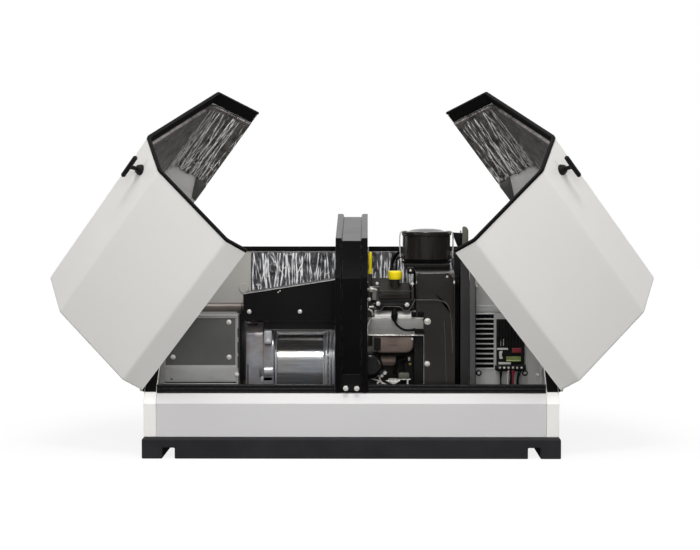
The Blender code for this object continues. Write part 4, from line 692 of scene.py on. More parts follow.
# Foil-faced lining: the upper part of the section at its own depth, then across the end panel. Long creases
# run from the rim to the end behind, faint ones on the roof, short curly ones low on the end panel.
def lidFoil(label, side):
    full = np.array(lid["section"], float)
    share = (lid["foilLow"] - full[1, 1]) / (full[2, 1] - full[1, 1])
    start = full[1] + (full[2] - full[1]) * share
    stop = full[-1] + (full[-2] - full[-1]) * 0.02
    corners = softened([start, *full[2:5], stop], 0.030, 10)
    smooth = resampled(corners, 600)
    lengthAt = np.r_[0, np.cumsum(np.linalg.norm(np.diff(smooth, axis=0), axis=1))]
    rear = lengthAt[-1] - lid["rearPart"]
    wanted = np.r_[np.linspace(0, rear, 130)[:-1], np.linspace(rear, lengthAt[-1], 120)]
    line = np.stack([np.interp(wanted, lengthAt, smooth[:, k]) for k in (0, 1)], 1)
    inward, deep, far = inwardNormals(line), lid["foilDepth"], lid["end"] - lid["foilDepth"]
    x = np.r_[lid["foilStart"], lid["foilStart"], np.linspace(lid["foilStart"] + 0.004, far - 0.010, 126),
              far - 0.003, far]
    depth = np.r_[0.0035, deep - 0.002, np.full(126, deep), deep + 0.003, deep + 0.010]
    u = np.broadcast_to(wanted[None], (len(x), len(line)))
    v = np.broadcast_to(x[:, None], u.shape)
    seed = 11 if side < 0 else 23
    spanV = (lid["foilStart"], far)
    long = creased(u, v, seed, lid["longCreases"], (rear - 0.02, wanted[-1]), spanV, 0.07, (0.35, 1.1),
        (0.0008, 0.0015), 0.0025)
    steep = creased(u, v, seed + 1, 26, (rear - 0.06, wanted[-1]), spanV, 0.42, (0.08, 0.3), (0.0008, 0.0014))
    curls = np.maximum(creased(u, v, seed + 5, 60, (rear - 0.02, wanted[-1]), (0.2, 0.34), 0.8, (0.08, 0.3),
        (0.0014, 0.0024), 0.006), creased(v, u, seed + 6, 34, (0.2, 0.34), (rear - 0.02, wanted[-1]), 0.7,
        (0.06, 0.2), (0.0014, 0.0024), 0.006)) * np.clip((v - 0.19) / 0.05, 0,
        1) * np.clip((0.36 - v) / 0.02, 0, 1)
    faint = creased(u, v, seed + 2, 26, (0.0, rear), spanV, 0.5, (0.05, 0.3), (0.002, 0.0045), 0.008)
    crease = np.maximum(np.maximum(np.maximum(long, 0.85 * steep), 0.30 * faint), curls)
    jag = 0.0022 * np.sin(u / 0.009) + 0.0014 * np.sin(u / 0.0037 + 1.0)
    bare = np.clip((v - lid["bareFrom"] - jag) / 0.003, 0, 1) * np.clip((u - rear - 0.004) / 0.004, 0, 1)
    crease = crease * (1 - bare)
    edge = np.clip((x - lid["foilStart"] - 0.004) / 0.01, 0, 1)[:, None]
    edge = edge * np.clip(np.minimum(np.arange(len(line)), np.arange(len(line))[::-1]) / 4, 0, 1)[None]
    crease = crease * edge
    depth = depth[:, None] + lid["creaseHeight"] * crease * (x < far - 0.005)[:, None]
    depth = depth + (0.0036 - depth) * bare * (x < far - 0.02)[:, None]
    depth[2:, [0, -1]] = 0.0035
    grid = line[None] + inward[None] * depth[..., None]
    grid = np.concatenate([np.broadcast_to(side * x[:, None, None], grid[..., :1].shape), grid], 2)
    panel = panelAcross(grid[-1, :, 1:], side * far, 170)
    pu, pv = panel[..., 1], panel[..., 2]
    endCurls = np.maximum(creased(pu, pv, seed + 3, 90, (-0.33, 0.32), (0.4, 0.7), 0.7, (0.05, 0.22),
        (0.002, 0.0034), 0.007), creased(pv, pu, seed + 4, 60, (0.4, 0.7), (-0.33, 0.32), 0.7, (0.03, 0.1),
        (0.002, 0.0034), 0.007))
    rows, columns = panel.shape[:2]
    hem = np.minimum(np.arange(columns), np.arange(columns)[::-1])[None] / 5.0
    endCurls = endCurls * np.clip(np.minimum(hem, (rows - 1 - np.arange(rows))[:, None] / 5.0), 0, 1)
    panel[..., 0] -= side * endCurls * lid["creaseHeight"]
    panel[0, :, 0] = side * (lid["end"] - 0.0035)
    patches = [patch(openLid(grid, label)), patch(openLid(panel, label))]
    uv = np.vstack([np.stack([u, v], 2).reshape(-1, 2), np.stack([pu + 2.0, pv], 2).reshape(-1, 2)])
    inside = openLid(np.array([side * 0.3, 0.0, 0.42]), label)
    made = makePiece(label + "LidFoil", patches, finishes["lidFoil"], label + "_lid",
        label + "_lid_insulation", facing=inside, sharp=180, uv=uv,
        crease=np.r_[(crease - 2 * bare).ravel(), endCurls.ravel()])
    made.data.flip_normals()


# Bracket on the tail near the hinge: a folded plate drawn by its places along the lid and up from the tail.
def tailBracket(label, side):
    low, high = np.array(lid["section"][-1]), np.array(lid["section"][-2])
    up = (high - low) / np.linalg.norm(high - low)
    inward = np.array([-up[1], up[0]]) * (1 if -up[1] < 0 else -1)
    outline = softened([(0.317, 0.047), (0.321, 0.01), (0.329, 0.003), (0.395, 0.003), (0.388, 0.02)],
        0.0012, 3, closed=True)
    middle = outline.mean(0)
    rings = []
    for lift, share in ((0.0036, 1.0), (0.0150, 1.0), (0.0165, 0.93), (0.0165, 0.0)):
        ring = middle + (outline - middle) * share
        flat = low + ring[:, 1:] * up + lift * inward
        rings.append(np.column_stack([side * ring[:, 0], flat]))
    points, quads = patch(np.array(rings), closedColumns=True)
    makePiece(label + "TailBracket", [(openLid(points, label), quads)], finishes["greyPlate"], label + "_lid",
              slot=slotOf["arch_foot_plate"])


sideParts = (("_lid_seal", "foam", 0.0012), ("_latch_base", "blackMould", 0.0008),
    ("_latch_handle", "blackMould", 0.0008), ("_hinge_moving_leaf", "blackCoat", 0.0004),
    ("_hinge_fixed_leaf", "blackCoat", 0.0004), ("_hinge_pin", "zincScrew", 0.0),
    ("_end_wall", "whiteCoat", 0.0018), ("_sill", "blackMould", 0.0006))
for label, side in (("left", -1), ("right", 1)):
    lidShell(label, side)
    lidTrim(label, side)
    lidFoil(label, side)
    tailBracket(label, side)
    for part, finish, edge in sideParts:
        finePiece(label + part, finishes[finish], edge)
print("lids made")

dressed = (("base_pad", "padComposite", 0.003), ("floor_pan", "blackCoat", 0.0005),
    ("front_panel", "bodyCoat", 0.002), ("back_wall", "bareWhite", 0.0006),
    ("centre_arch", "archCoat", 0.0009), ("arch_foot_plate", "blackCoat", 0.0006),
    ("muffler_box", "silencerSheet", 0.0012), ("muffler_cover_plate", "coverPlate", 0.0005),
    ("exhaust_pipe", "brownedPipe", 0.0), ("left_partition", "blackCoat", 0.0004),
    ("heat_shield", "blackCoat", 0.0008), ("air_duct", "blackMould", 0.0008),
    ("alternator_stator", "drawnSteel", 0.0012), ("alternator_adapter", "castGrey", 0.0012),
    ("alternator_end_bracket", "castGrey", 0.0015), ("alternator_rotor", "drawnSteel", 0.0008),
    ("engine_skid", "blackCoat", 0.001), ("crankcase", "castDark", 0.0015),
    ("front_cylinder", "castDark", 0.0008), ("rear_cylinder", "castDark", 0.0008),
    ("front_rocker_cover", "brownMould", 0.003), ("rear_rocker_cover", "brownMould", 0.003),
    ("oil_cap", "yellowMould", 0.0015), ("dipstick", "yellowMould", 0.0008), ("spark_lead", "rubber", 0.0),
    ("blower_housing", "brownGloss", 0.005), ("flywheel_fan", "castGrey", 0.0005),
    ("crankshaft", "drawnSteel", 0.0008), ("air_cleaner_can", "brownGloss", 0.0015),
    ("air_cleaner_left_clip", "zincScrew", 0.0), ("air_cleaner_right_clip", "zincScrew", 0.0),
    ("right_partition", "blackCoat", 0.0005), ("equipment_panel", "greySheet", 0.0005),
    ("charger_module", "blackMould", 0.0006), ("wire_loom", "rubber", 0.0),
    ("battery", "blackMould", 0.002))
for name, finish, edge in dressed:
    finePiece(name, finishes[finish], edge)
print("body and engine dressed")


# Lining on the back wall: a crumpled sheet round a thin pad, with upright creases that fork.
wallLining = dict(left=-0.325, right=0.33, low=0.34, high=0.584, face=0.2925, back=0.3, height=0.003,
    upright=128, forks=60, across=90)


def wallFoil():
    w = wallLining
    u, v = np.meshgrid(np.linspace(w["left"], w["right"], 380), np.linspace(w["low"], w["high"], 124),
        indexing="ij")
    spanU, spanV = (w["left"], w["right"]), (w["low"], w["high"])
    upright = creased(u, v, 5, w["upright"], spanU, spanV, 0.07, (0.6, 1.3), (0.0012, 0.0028), 0.0030)
    forks = creased(u, v, 6, w["forks"], spanU, spanV, 0.45, (0.15, 0.5), (0.0012, 0.0022))
    across = creased(v, u, 7, w["across"], spanV, spanU, 0.5, (0.02, 0.07), (0.0012, 0.0024), 0.006)
    crease = np.maximum(np.maximum(upright, forks), 0.8 * across)
    edge = np.minimum(np.minimum(u - w["left"], w["right"] - u), np.minimum(v - w["low"], w["high"] - v))
    crease = crease * np.clip(edge / 0.006, 0, 1)
    face = np.stack([u, w["face"] - w["height"] * crease, v], 2)
    face = np.pad(face, ((1, 1), (1, 1), (0, 0)), mode="edge")
    face[[0, -1], :, 1], face[:, [0, -1], 1] = w["back"], w["back"]
    wide = np.pad(crease, 1)
    place = np.pad(np.stack([u, v], 2), ((1, 1), (1, 1), (0, 0)), mode="edge")
    makePiece("wallFoil", [patch(face)], finishes["wallFoil"], node="back_insulation",
        facing=(0.0, 0.6, 0.46), sharp=180, uv=place, crease=wide.ravel())


wallFoil()

# Fasteners. Each head is a turned profile of (height, radius) shares, set on a face and repeated.
headProfiles = {"pan": ([(0, 0), (0, 1), (0.35, 1), (0.75, 0.86), (1, 0.5), (1, 0.34), (0.62, 0.26),
    (0.62, 0)], 20, 0), "washer": ([(0, 0), (0, 1.7), (0.16, 1.75), (0.24, 1.6), (0.24, 1), (0.55, 1),
    (0.85, 0.84), (1, 0.5), (1, 0.34), (0.7, 0.26), (0.7, 0)], 24, 0), "hex": ([(0, 0), (0, 1.5),
    (0.18, 1.5), (0.22, 1.4), (0.22, 1.0), (0.88, 1.0), (1.0, 0.86), (1.0, 0)], 24, 6)}


def heads(kind, places, direction=(0, -1, 0), radius=0.004, height=0.003):
    profile, sides, flats = headProfiles[kind]
    shape = turned((0, 0, 0), direction, np.array(profile) * (height, radius), sides, flats)
    return repeated(shape, places)


def beads(lines, radius=0.0008, sides=8):
    return [tube(np.asarray(line, float), radius, sides) for line in lines]


# An outline in X and Z carried back from its front face, whose edge is rounded.
def plate(outline, front, back, edge=0.0015, corner=0.003):
    line = softened(outline, corner, 4, closed=True)
    turn = np.linspace(0, math.pi / 2, 4)
    levels = [(front + edge * (1 - math.sin(a)), edge * (1 - math.cos(a))) for a in turn[::-1]]
    return stacked(line, levels + [(back, 0.0)], 1)


def rectangle(x0, x1, z0, z1):
    return [(x0, z0), (x1, z0), (x1, z1), (x0, z1)]


# Left bay: silencer, its rolled rim and lower strip, pipe clamp, and the screws on the shield.
silencer = dict(rim=(-0.5585, -0.3385, 0.199, 0.4095), face=-0.2068, corner=0.011, screws=[(-0.364, 0.39),
    (-0.364, 0.286), (-0.53, 0.286), (-0.53, 0.39)])
x0, x1, z0, z1 = silencer["rim"]
rim = softened(rectangle(x0, x1, z0, z1), silencer["corner"], 6, closed=True)
rim = np.insert(np.vstack([rim, rim[:1]]), 1, silencer["face"], axis=1)
detail("silencerRim", beads([rim], 0.0022, 10), "silencerSheet", "muffler_box")
detail("silencerStrip", [plate(rectangle(-0.556, -0.3415, 0.2125, 0.2575), -0.2095, -0.2065, 0.0012),
    plate(rectangle(-0.557, -0.341, 0.2005, 0.2085), -0.2098, -0.2065, 0.001)], "silencerSheet",
    "muffler_box")
# Black plates: the slits in the box's side flange, whose black is painted shade inside them, a dark seam above the
# lower strip, and a small mark.
detail("silencerSlits", [plate(rectangle(-0.3385, -0.3358, low, high), -0.2094, -0.2, 0.0005,
    0.001) for low, high in ((0.254, 0.289), (0.298, 0.331),
    (0.345, 0.372))] + [plate(rectangle(-0.556, -0.342, 0.2088, 0.2118), -0.2077, -0.205, 0.0004, 0.0008),
    plate(rectangle(-0.538, -0.531, 0.219, 0.2225), -0.2102, -0.209, 0.0004, 0.0008)], "blackMould",
    "air_duct")
detail("silencerScrews", [heads("washer", [(x, -0.2047, z) for x, z in silencer["screws"]], radius=0.0042,
    height=0.0042), heads("hex", [(-0.3405, -0.2092, 0.2345)], radius=0.0048, height=0.005)], "zincScrew",
    "left_hinge_pin")
detail("silencerTubeRing", [turned((-0.345, -0.1048, 0.4222), (1, 0, 0), [(0, 0.0155), (0, 0.0185),
    (0.012, 0.0185), (0.012, 0.0155), (0, 0.0155)], 28)], "brownedPipe", "exhaust_pipe")

# Pale beads along the shield's top and its lower edges are painted highlights.
shieldEdge = [(-0.3262, -0.1474, 0.4705), (-0.050, -0.1474, 0.5135)]
detail("shieldScrews", [heads("washer", [(-0.307, -0.147, 0.418), (-0.155, -0.147, 0.418)], radius=0.0036,
    height=0.0042), heads("pan", [(-0.215, -0.147, 0.48), (-0.2205, -0.147, 0.476)], radius=0.0021,
    height=0.0018)], "zincScrew", "left_hinge_pin")
detail("shieldEdges", beads([[(-0.262, -0.1376, 0.3893), (-0.054, -0.1376, 0.3893)],
    [(-0.262, -0.1374, 0.3625), (-0.054, -0.1374, 0.3625)]], 0.0009), "greyPlate", "left_partition")
detail("shieldTopEdge", beads([shieldEdge], 0.0010), "tinBright", "left_partition")
detail("shieldClips", [plate(rectangle(-0.25, -0.243, 0.383, 0.391), -0.1485, -0.137, 0.001),
    plate(rectangle(-0.3, -0.29, 0.386, 0.392), -0.148, -0.137, 0.001)], "blackMould", "air_duct")

detail("shieldCurtain", [block((-0.323, 0.003, 0.37), (-0.053, 0.0048, 0.47), 0.0005, 0.001)], "blackCoat",
    "heat_shield")

# Alternator: a drawn can between cast rings, the end bracket's lugs and bell, a bolt on a lug, and banding.
alternator = dict(middle=(0.005, 0.232))
cy, cz = alternator["middle"]


def ringPiece(start, stop, radius, edge=0.0012, thick=0.004):
    profile = [(start, radius - thick), (start, radius - edge), (start + edge, radius), (stop - edge, radius),
               (stop, radius - edge), (stop, radius - thick), (start, radius - thick)]
    return turned((0, cy, cz), (1, 0, 0), profile, 96)


detail("statorBands", [ringPiece(-0.2325, -0.2265, 0.1166), ringPiece(-0.0872, -0.0828, 0.1164)],
    "castPale", "alternator_adapter", sharp=50)
detail("adapterRings", [ringPiece(-0.0826, -0.0725, 0.1192, 0.002),
    ringPiece(-0.0705, -0.0625, 0.1212, 0.002), ringPiece(-0.061, -0.05, 0.119, 0.002)], "castPale",
    "alternator_adapter", sharp=50)
detail("statorSeams", [ringPiece(-0.2262, -0.2248, 0.1156, 0.0003, 0.003),
    ringPiece(-0.0728, -0.0703, 0.1178, 0.0003, 0.003)], "blackCoat", "centre_arch", sharp=50)
detail("bracketLugs", [block((-0.2635, -0.1405, 0.32), (-0.2395, -0.118, 0.3605), 0.003, 0.004, 1),
    turned((-0.2645, -0.1215, 0.2365), (1, 0, 0), [(0, 0), (0, 0.0155), (0.002, 0.0178), (0.0265, 0.0178),
    (0.0285, 0.016), (0.0285, 0)], 36), block((-0.2745, -0.1325, 0.205), (-0.2365, -0.12, 0.222), 0.003,
    0.004, 1)], "castPale", "alternator_end_bracket")


# A length of a line in Y and Z carried along X, closed at both ends.
def runX(line, x0, x1, edge=0.002):
    line = np.asarray(line, float)
    turn = np.linspace(0, math.pi / 2, 4)
    levels = ([(x0 + edge * (1 - math.sin(a)), edge * (1 - math.cos(a))) for a in turn[::-1]]
              + [(x1 - edge * (1 - math.sin(a)), edge * (1 - math.cos(a))) for a in turn])
    return stacked(line, levels, 0)


bell = [(-0.03, 0.384), (-0.09, 0.383), (-0.118, 0.356), (-0.1295, 0.3), (-0.13, 0.2), (-0.12, 0.12),
    (-0.03, 0.12)]
bellLow = [(-0.03, 0.356), (-0.095, 0.356), (-0.126, 0.32), (-0.1325, 0.28), (-0.1325, 0.19),
    (-0.118, 0.125), (-0.03, 0.125)]
detail("endBell", [runX(softened(bell, 0.02, 8, closed=True), -0.3175, -0.2662, 0.0012),
    runX(softened(bellLow, 0.02, 8, closed=True), -0.2662, -0.2345, 0.0012)], "bellMetal",
    "alternator_end_bracket")
# Black plates for a slot in the end bracket and a line above it: painted shade.
detail("bracketShadowSlot", [plate(rectangle(-0.3135, -0.3105, 0.196, 0.258), -0.1325, -0.12, 0.0005,
    0.001), plate(rectangle(-0.316, -0.283, 0.3775, 0.38), -0.1325, -0.1, 0.0005, 0.001)], "blackMould",
    "air_duct")
detail("alternatorBolts", [heads("hex", [(-0.2505, -0.1405, 0.3295)], radius=0.0048, height=0.005)],
    "zincScrew", "left_hinge_pin")

# Arch: grey beads along the edges of its folded channel as painted highlights, and the two screws through its
# foot.
detail("archFolds", beads([[(x, -0.3075 + (z - 0.247) * 0.045,
    z) for z in np.linspace(0.2485, 0.5, 6)] for x in (-0.03, 0.03)], 0.0007), "greyPlate",
    "arch_foot_plate")
detail("footScrews", [heads("washer", [(x, -0.3325, 0.2045) for x in (-0.016, 0.016)], radius=0.0043,
    height=0.0045)], "zincScrew", "left_hinge_pin")

# Engine, upper front: tin cowl over the barrel, rocker cover dress, boot and its lead's clips.
cowl = dict(front=-0.2440)
makePiece("cowlUpper", [plate([(0.06, 0.404), (0.2125, 0.404), (0.2125, 0.3535), (0.046, 0.3535),
    (0.046, 0.38)], cowl["front"], -0.2242, 0.004, 0.012), block((0.048, -0.23, 0.354),
    (0.189, -0.165, 0.403), 0.003, 0.006)], finishes["cowlGrey"], node="cylinder_shroud")
detail("cowlLower", [plate([(0.064, 0.351), (0.183, 0.351), (0.183, 0.317), (0.172, 0.301), (0.078, 0.301),
    (0.064, 0.317)], -0.2405, -0.165, 0.006, 0.012)], "bronzeCowl", "cylinder_shroud")
# A black plate stands for the opening in the lower cowl; its black is painted shade inside it.
detail("cowlOpening", [plate(rectangle(0.0665, 0.0865, 0.3075, 0.3465), -0.2412, -0.236, 0.0006, 0.004)],
    "blackMould", "air_duct")
# Bright zinc beads on the cowl's curled edge and along its top are painted highlights.
detail("cowlEdges", beads([softened([(0.057, -0.2445, 0.403), (0.0468, -0.2445, 0.38),
    (0.0468, -0.2445, 0.354), (0.212, -0.245, 0.354)], 0.006, 4)], 0.0019,
    10) + beads([[(0.06, -0.244, 0.4045), (0.212, -0.244, 0.4045)]], 0.001), "zincScrew", "flywheel_fan")
# The cowl's top ledge is paler tin than the cowl: painted light on its upward face.
ledge = np.array([[(x, y, z) for x in np.linspace(0.068, 0.189, 16)] for y, z in ((-0.2425, 0.4052),
    (-0.236, 0.411), (-0.23, 0.4215), (-0.224, 0.4245), (-0.18, 0.425))])
detail("cowlLedge", [patch(ledge)], "tinBright", "cylinder_shroud", sheet=0.0012, facing=(0.12, -0.1, 0.3))
detail("cowlScrews", [heads("pan", [(0.179, -0.2405, 0.343), (0.2055, -0.223, 0.302)], radius=0.0036,
    height=0.003)], "zincScrew", "left_hinge_pin")

flangeLine = [(0.069, 0.456), (0.069, 0.439), (0.0745, 0.427), (0.085, 0.4255), (0.096, 0.4395),
    (0.144, 0.438), (0.156, 0.425), (0.168, 0.425), (0.178, 0.44), (0.188, 0.46)]
# A black block and disc beside the blower's left edge: painted shade.
detail("cowlShade", [block((0.184, -0.233, 0.2), (0.2122, -0.2235, 0.35), 0.002, 0.003),
    turned((0.195, -0.233, 0.325), (0, -1, 0), [(0, 0), (0, 0.009), (0.004, 0.008), (0.005, 0)], 24)],
    "blackMould", "air_duct")
detail("rockerFlange", [plate(flangeLine, -0.24, -0.225, 0.0015, 0.005)], "blackMould",
    "front_rocker_cover")
# A grey bead along the flange's lower edge is a painted highlight.
detail("rockerFlangeEdge", beads([softened([(x, -0.2404, z) for x, z in flangeLine[1:]], 0.005, 4)],
    0.0009), "greyPlate", "arch_foot_plate")
detail("rockerBar", [plate(rectangle(0.09, 0.153, 0.442, 0.447), -0.2425, -0.236, 0.0012, 0.002),
    plate(rectangle(0.0765, 0.1815, 0.48, 0.4845), -0.2345, -0.222, 0.0016, 0.002)], "brownMould",
    "front_rocker_cover")
detail("rockerBolts", [heads("hex", [(0.0785, -0.24, 0.447), (0.1635, -0.24, 0.444)], radius=0.0048,
    height=0.006), heads("hex", [(0.0755, -0.229, 0.506), (0.1795, -0.229, 0.505)], radius=0.0034,
    height=0.004)], "zincScrew", "left_hinge_pin")
detail("barrelFittings", [turned((0.0585, -0.15, 0.486), (0, -1, 0), [(0, 0), (0, 0.009), (0.03, 0.009),
    (0.032, 0.007), (0.032, 0)], 24, 6), turned((0.052, -0.15, 0.456), (0, -1, 0), [(0, 0), (0, 0.006),
    (0.03, 0.006), (0.031, 0.004), (0.031, 0)], 20, 6), tube(route([(0.045, -0.182, 0.486),
    (0.06, -0.186, 0.487), (0.074, -0.182, 0.484)]), 0.0035), tube(route([(0.05, -0.18, 0.428),
    (0.06, -0.186, 0.421), (0.063, -0.184, 0.408)]), 0.003), tube([(0.052, -0.182, 0.4335),
    (0.066, -0.182, 0.4345)], 0.0032)], "zincScrew", "left_hinge_pin")
detail("bootDress", [tube(route([(0.1268, -0.245, 0.429), (0.1268, -0.253, 0.42), (0.1268, -0.256, 0.408),
    (0.127, -0.256, 0.396)]), np.r_[np.linspace(0.0075, 0.01, 13), np.linspace(0.01, 0.0055, 12)], 20),
    block((0.186, -0.26, 0.359), (0.212, -0.2225, 0.3735), 0.002, 0.003), block((0.1765, -0.25, 0.4085),
    (0.189, -0.23, 0.4225), 0.002, 0.003), block((0.196, -0.236, 0.4085), (0.213, -0.222, 0.4225), 0.002,
    0.003)], "rubber", "spark_lead")

# Blower: a raised upper cover; a paler bead along its rolled lip and down its shoulder and a bright bead on its
# left edge, as painted highlights; and its bolts.
coverLine = [(0.1925, 0.4575), (0.262, 0.4575), (0.285, 0.447), (0.295, 0.415), (0.301, 0.41),
    (0.301, 0.518), (0.288, 0.538), (0.1925, 0.538)]
detail("blowerCover", [plate(coverLine, -0.2300, -0.2100, 0.004, 0.010)], "brownGloss", "blower_housing")
lipLine = [(0.192, -0.2312, 0.457), (0.262, -0.2312, 0.457), (0.285, -0.2305, 0.445),
    (0.2925, -0.227, 0.415), (0.2965, -0.223, 0.37), (0.299, -0.2215, 0.3)]
detail("blowerLip", beads([softened(lipLine, 0.016, 6)], 0.0016,
    10) + beads([route([(0.274, -0.2235, 0.395), (0.277, -0.2238, 0.33), (0.28, -0.2238, 0.215)])], 0.0009),
    "brownPale", "blower_housing")
detail("blowerEdge", beads([[(0.2135, -0.224, 0.352), (0.2135, -0.224, 0.199)]], 0.0012), "tinBright",
    "cylinder_shroud")
detail("blowerBolts", [heads("washer", [(0.2245, -0.2232, 0.3935)], radius=0.0056, height=0.006),
    heads("washer", [(0.2235, -0.2232, 0.268)], radius=0.0046, height=0.0055), heads("pan",
    [(0.282, -0.2302, 0.526), (0.174, -0.205, 0.543)], radius=0.0036, height=0.003), heads("washer",
    [(0.311, -0.12, 0.508)], radius=0.0048, height=0.006)], "zincScrew", "left_hinge_pin")
detail("blowerLugs", [block((0.3035, -0.13, 0.49), (0.318, -0.09, 0.525), 0.002, 0.003),
    block((0.164, -0.205, 0.533), (0.185, -0.175, 0.553), 0.003, 0.004)], "blackMould", "blower_housing")

makePiece("cleanerLid", [turned((0.229, 0.103, 0.6403), (0, 0, 1), [(0, 0), (0, 0.0735), (0.001, 0.0765),
    (0.0095, 0.077), (0.0122, 0.0755), (0.0128, 0.064), (0.014, 0.056), (0.0182, 0.044), (0.0208, 0.024),
    (0.0215, 0)], 72)], finishes["brownGloss"], node="air_cleaner_lid")

# Air cleaner: neck ring and base, the breather hose, and the bracket box with its rounded tab.
detail("cleanerBase", [turned((0.229, 0.103, 0.5405), (0, 0, 1), [(0, 0.05), (0, 0.066), (0.006, 0.071),
    (0.013, 0.071), (0.019, 0.077), (0.021, 0.078), (0.021, 0.05)], 64), block((0.162, -0.02, 0.5405),
    (0.298, 0.03, 0.556), 0.003, 0.006)], "blackMould", "blower_housing")
detail("breatherHose", [tube(route([(0.118, 0.15, 0.5), (0.121, 0.195, 0.535), (0.127, 0.2, 0.56),
    (0.14, 0.17, 0.583), (0.158, 0.14, 0.59)]), 0.0048, 14), tube(route([(0.14, 0.12, 0.5),
    (0.136, 0.16, 0.54), (0.139, 0.165, 0.565), (0.158, 0.13, 0.575)]), 0.003, 12)], "rubber", "wire_loom")
detail("bracketBox", [plate([(0.3085, 0.65), (0.342, 0.648), (0.342, 0.6), (0.329, 0.592), (0.325, 0.608)],
    0.09, 0.13, 0.0015, 0.002)], "blackCoat", "right_partition")
detail("bracketTab", [plate([(0.3395, 0.604), (0.3395, 0.669), (0.35, 0.669), (0.3585, 0.66),
    (0.3585, 0.604)], 0.087, 0.0895, 0.0008, 0.008)], "oliveGrey", "right_partition")

# Engine, lower front: oil filter, starter barrel, hose, fittings and linkage.
makePiece("filterCan", [turned((0.054, -0.15, 0.262), (0, -1, 0), [(0, 0), (0, 0.0355), (0.004, 0.0375),
    (0.078, 0.038), (0.086, 0.0368), (0.0915, 0.033), (0.0945, 0.027), (0.095, 0.018), (0.094, 0)], 56)],
    finishes["blackGloss"], node="oil_filter")
detail("starterBarrel", [turned((0.086, -0.19, 0.2745), (1, 0, 0), [(0, 0), (0, 0.0135), (0.002, 0.0152),
    (0.043, 0.0152), (0.045, 0.0135), (0.045, 0)], 36)], "bronzeCowl", "cylinder_shroud")
detail("oilHose", [tube(route([(0.128, -0.175, 0.236), (0.131, -0.196, 0.254), (0.14, -0.204, 0.272),
    (0.156, -0.202, 0.28), (0.166, -0.2, 0.2805)]), 0.0068, 16)], "rubber", "wire_loom")
detail("brightFittings", [turned((0.164, -0.2, 0.2805), (1, 0, 0), [(0, 0), (0, 0.0062), (0.009, 0.0062),
    (0.01, 0.005), (0.01, 0)], 24, 6), turned((0.0985, -0.15, 0.2385), (0, -1, 0), [(0, 0), (0, 0.0062),
    (0.045, 0.0062), (0.046, 0.005), (0.046, 0)], 24, 6), turned((0.09, -0.15, 0.23), (0, -1, 0), [(0, 0),
    (0, 0.0048), (0.048, 0.0048), (0.049, 0.004), (0.049, 0)], 24), tube([(0.043, -0.2, 0.2262),
    (0.074, -0.203, 0.218), (0.105, -0.2, 0.203)], 0.0021, 10), tube([(0.076, -0.196, 0.242),
    (0.086, -0.203, 0.214), (0.096, -0.2, 0.204)], 0.0021, 10), tube(route([(0.084, -0.201, 0.214),
    (0.0765, -0.203, 0.209), (0.082, -0.203, 0.203), (0.091, -0.203, 0.207), (0.088, -0.202, 0.214)]),
    0.0024, 10), plate([(0.101, 0.2165), (0.146, 0.2165), (0.125, 0.203)], -0.201, -0.1985, 0.0006, 0.002),
    plate(rectangle(0.108, 0.176, 0.2185, 0.2205), -0.202, -0.17, 0.0006, 0.001),
    plate(rectangle(0.164, 0.169, 0.203, 0.218), -0.2015, -0.19, 0.0006, 0.001)], "zincScrew",
    "left_hinge_pin")
detail("brassFitting", [turned((0.1735, -0.15, 0.266), (0, -1, 0), [(0, 0), (0, 0.0052), (0.05, 0.0052),
    (0.051, 0.004), (0.051, 0)], 24, 6)], "brass", "left_hinge_pin")
detail("linkageBlock", [block((0.139, -0.204, 0.2215), (0.1715, -0.15, 0.24), 0.003, 0.004)], "oliveGrey",
    "crankcase")
detail("starterMount", [block((0.06, -0.185, 0.286), (0.186, -0.148, 0.3), 0.003, 0.004),
    block((0.156, -0.19, 0.16), (0.186, -0.148, 0.3), 0.003, 0.004), block((0.05, -0.185, 0.135),
    (0.186, -0.148, 0.2), 0.004, 0.006)], "blackMould", "crankcase")

# Right bay: charger fins, blocks, terminals and wires on the equipment panel.
charger = dict(face=-0.1074, fins=8, terminals=6)
finAt = np.linspace(0.4400, 0.5040, charger["fins"])
detail("chargerFins", [plate(rectangle(x - 0.0011, x + 0.0011, 0.312, 0.389), -0.114,
    charger["face"] + 0.001, 0.0006, 0.0006) for x in finAt] + [block((0.43, -0.115, 0.24),
    (0.522, -0.107, 0.2545), 0.0015, 0.002)], "blackMould", "charger_module")
detail("chargerBars", [plate(rectangle(0.4365, 0.4695, 0.301, 0.3065), -0.112, charger["face"] + 0.001,
    0.0008, 0.001), plate(rectangle(0.441, 0.478, 0.257, 0.2635), -0.1115, charger["face"] + 0.001, 0.0008,
    0.001), plate([(0.4425, 0.296), (0.454, 0.298), (0.45, 0.286), (0.455, 0.274), (0.444, 0.273)], -0.1105,
    charger["face"] + 0.001, 0.0006, 0.003)], "paleLabel", "charger_module")
detail("chargerFuse", [plate(rectangle(0.4815, 0.51, 0.2925, 0.3065), -0.113, charger["face"] + 0.001,
    0.001, 0.0015)], "redMould", "charger_module")
detail("chargerConnector", [plate(rectangle(0.464, 0.5085, 0.265, 0.281), -0.113, charger["face"] + 0.001,
    0.001, 0.0015)], "greenMould", "charger_module")
# A pale green bead along the connector's top edge is a painted highlight.
detail("chargerConnectorEdge", beads([[(0.465, -0.1132, 0.2695), (0.5075, -0.1132, 0.2695)]], 0.0011),
    "greenPale", "charger_module")
terminalAt = np.linspace(0.4450, 0.5100, charger["terminals"])
detail("terminalScrews", [heads("pan", [(x, -0.1148, 0.2475) for x in terminalAt], radius=0.0034,
    height=0.002), tube([(0.448, -0.11, 0.312), (0.448, -0.11, 0.33)], 0.0009, 8),
    tube([(0.456, -0.11, 0.313), (0.456, -0.11, 0.333)], 0.0009, 8)], "zincScrew", "left_hinge_pin")


# A wire hangs from a terminal: straight down, with one slow wave sideways.
def wire(x, sway, low=0.150, radius=0.0021):
    z = np.linspace(0.2420, low, 18)
    t = (0.2420 - z) / (0.2420 - low)
    return tube(np.stack([x + sway * np.sin(t * 4.2), -0.1110 + 0.016 * t ** 2, z], 1), radius, 10)


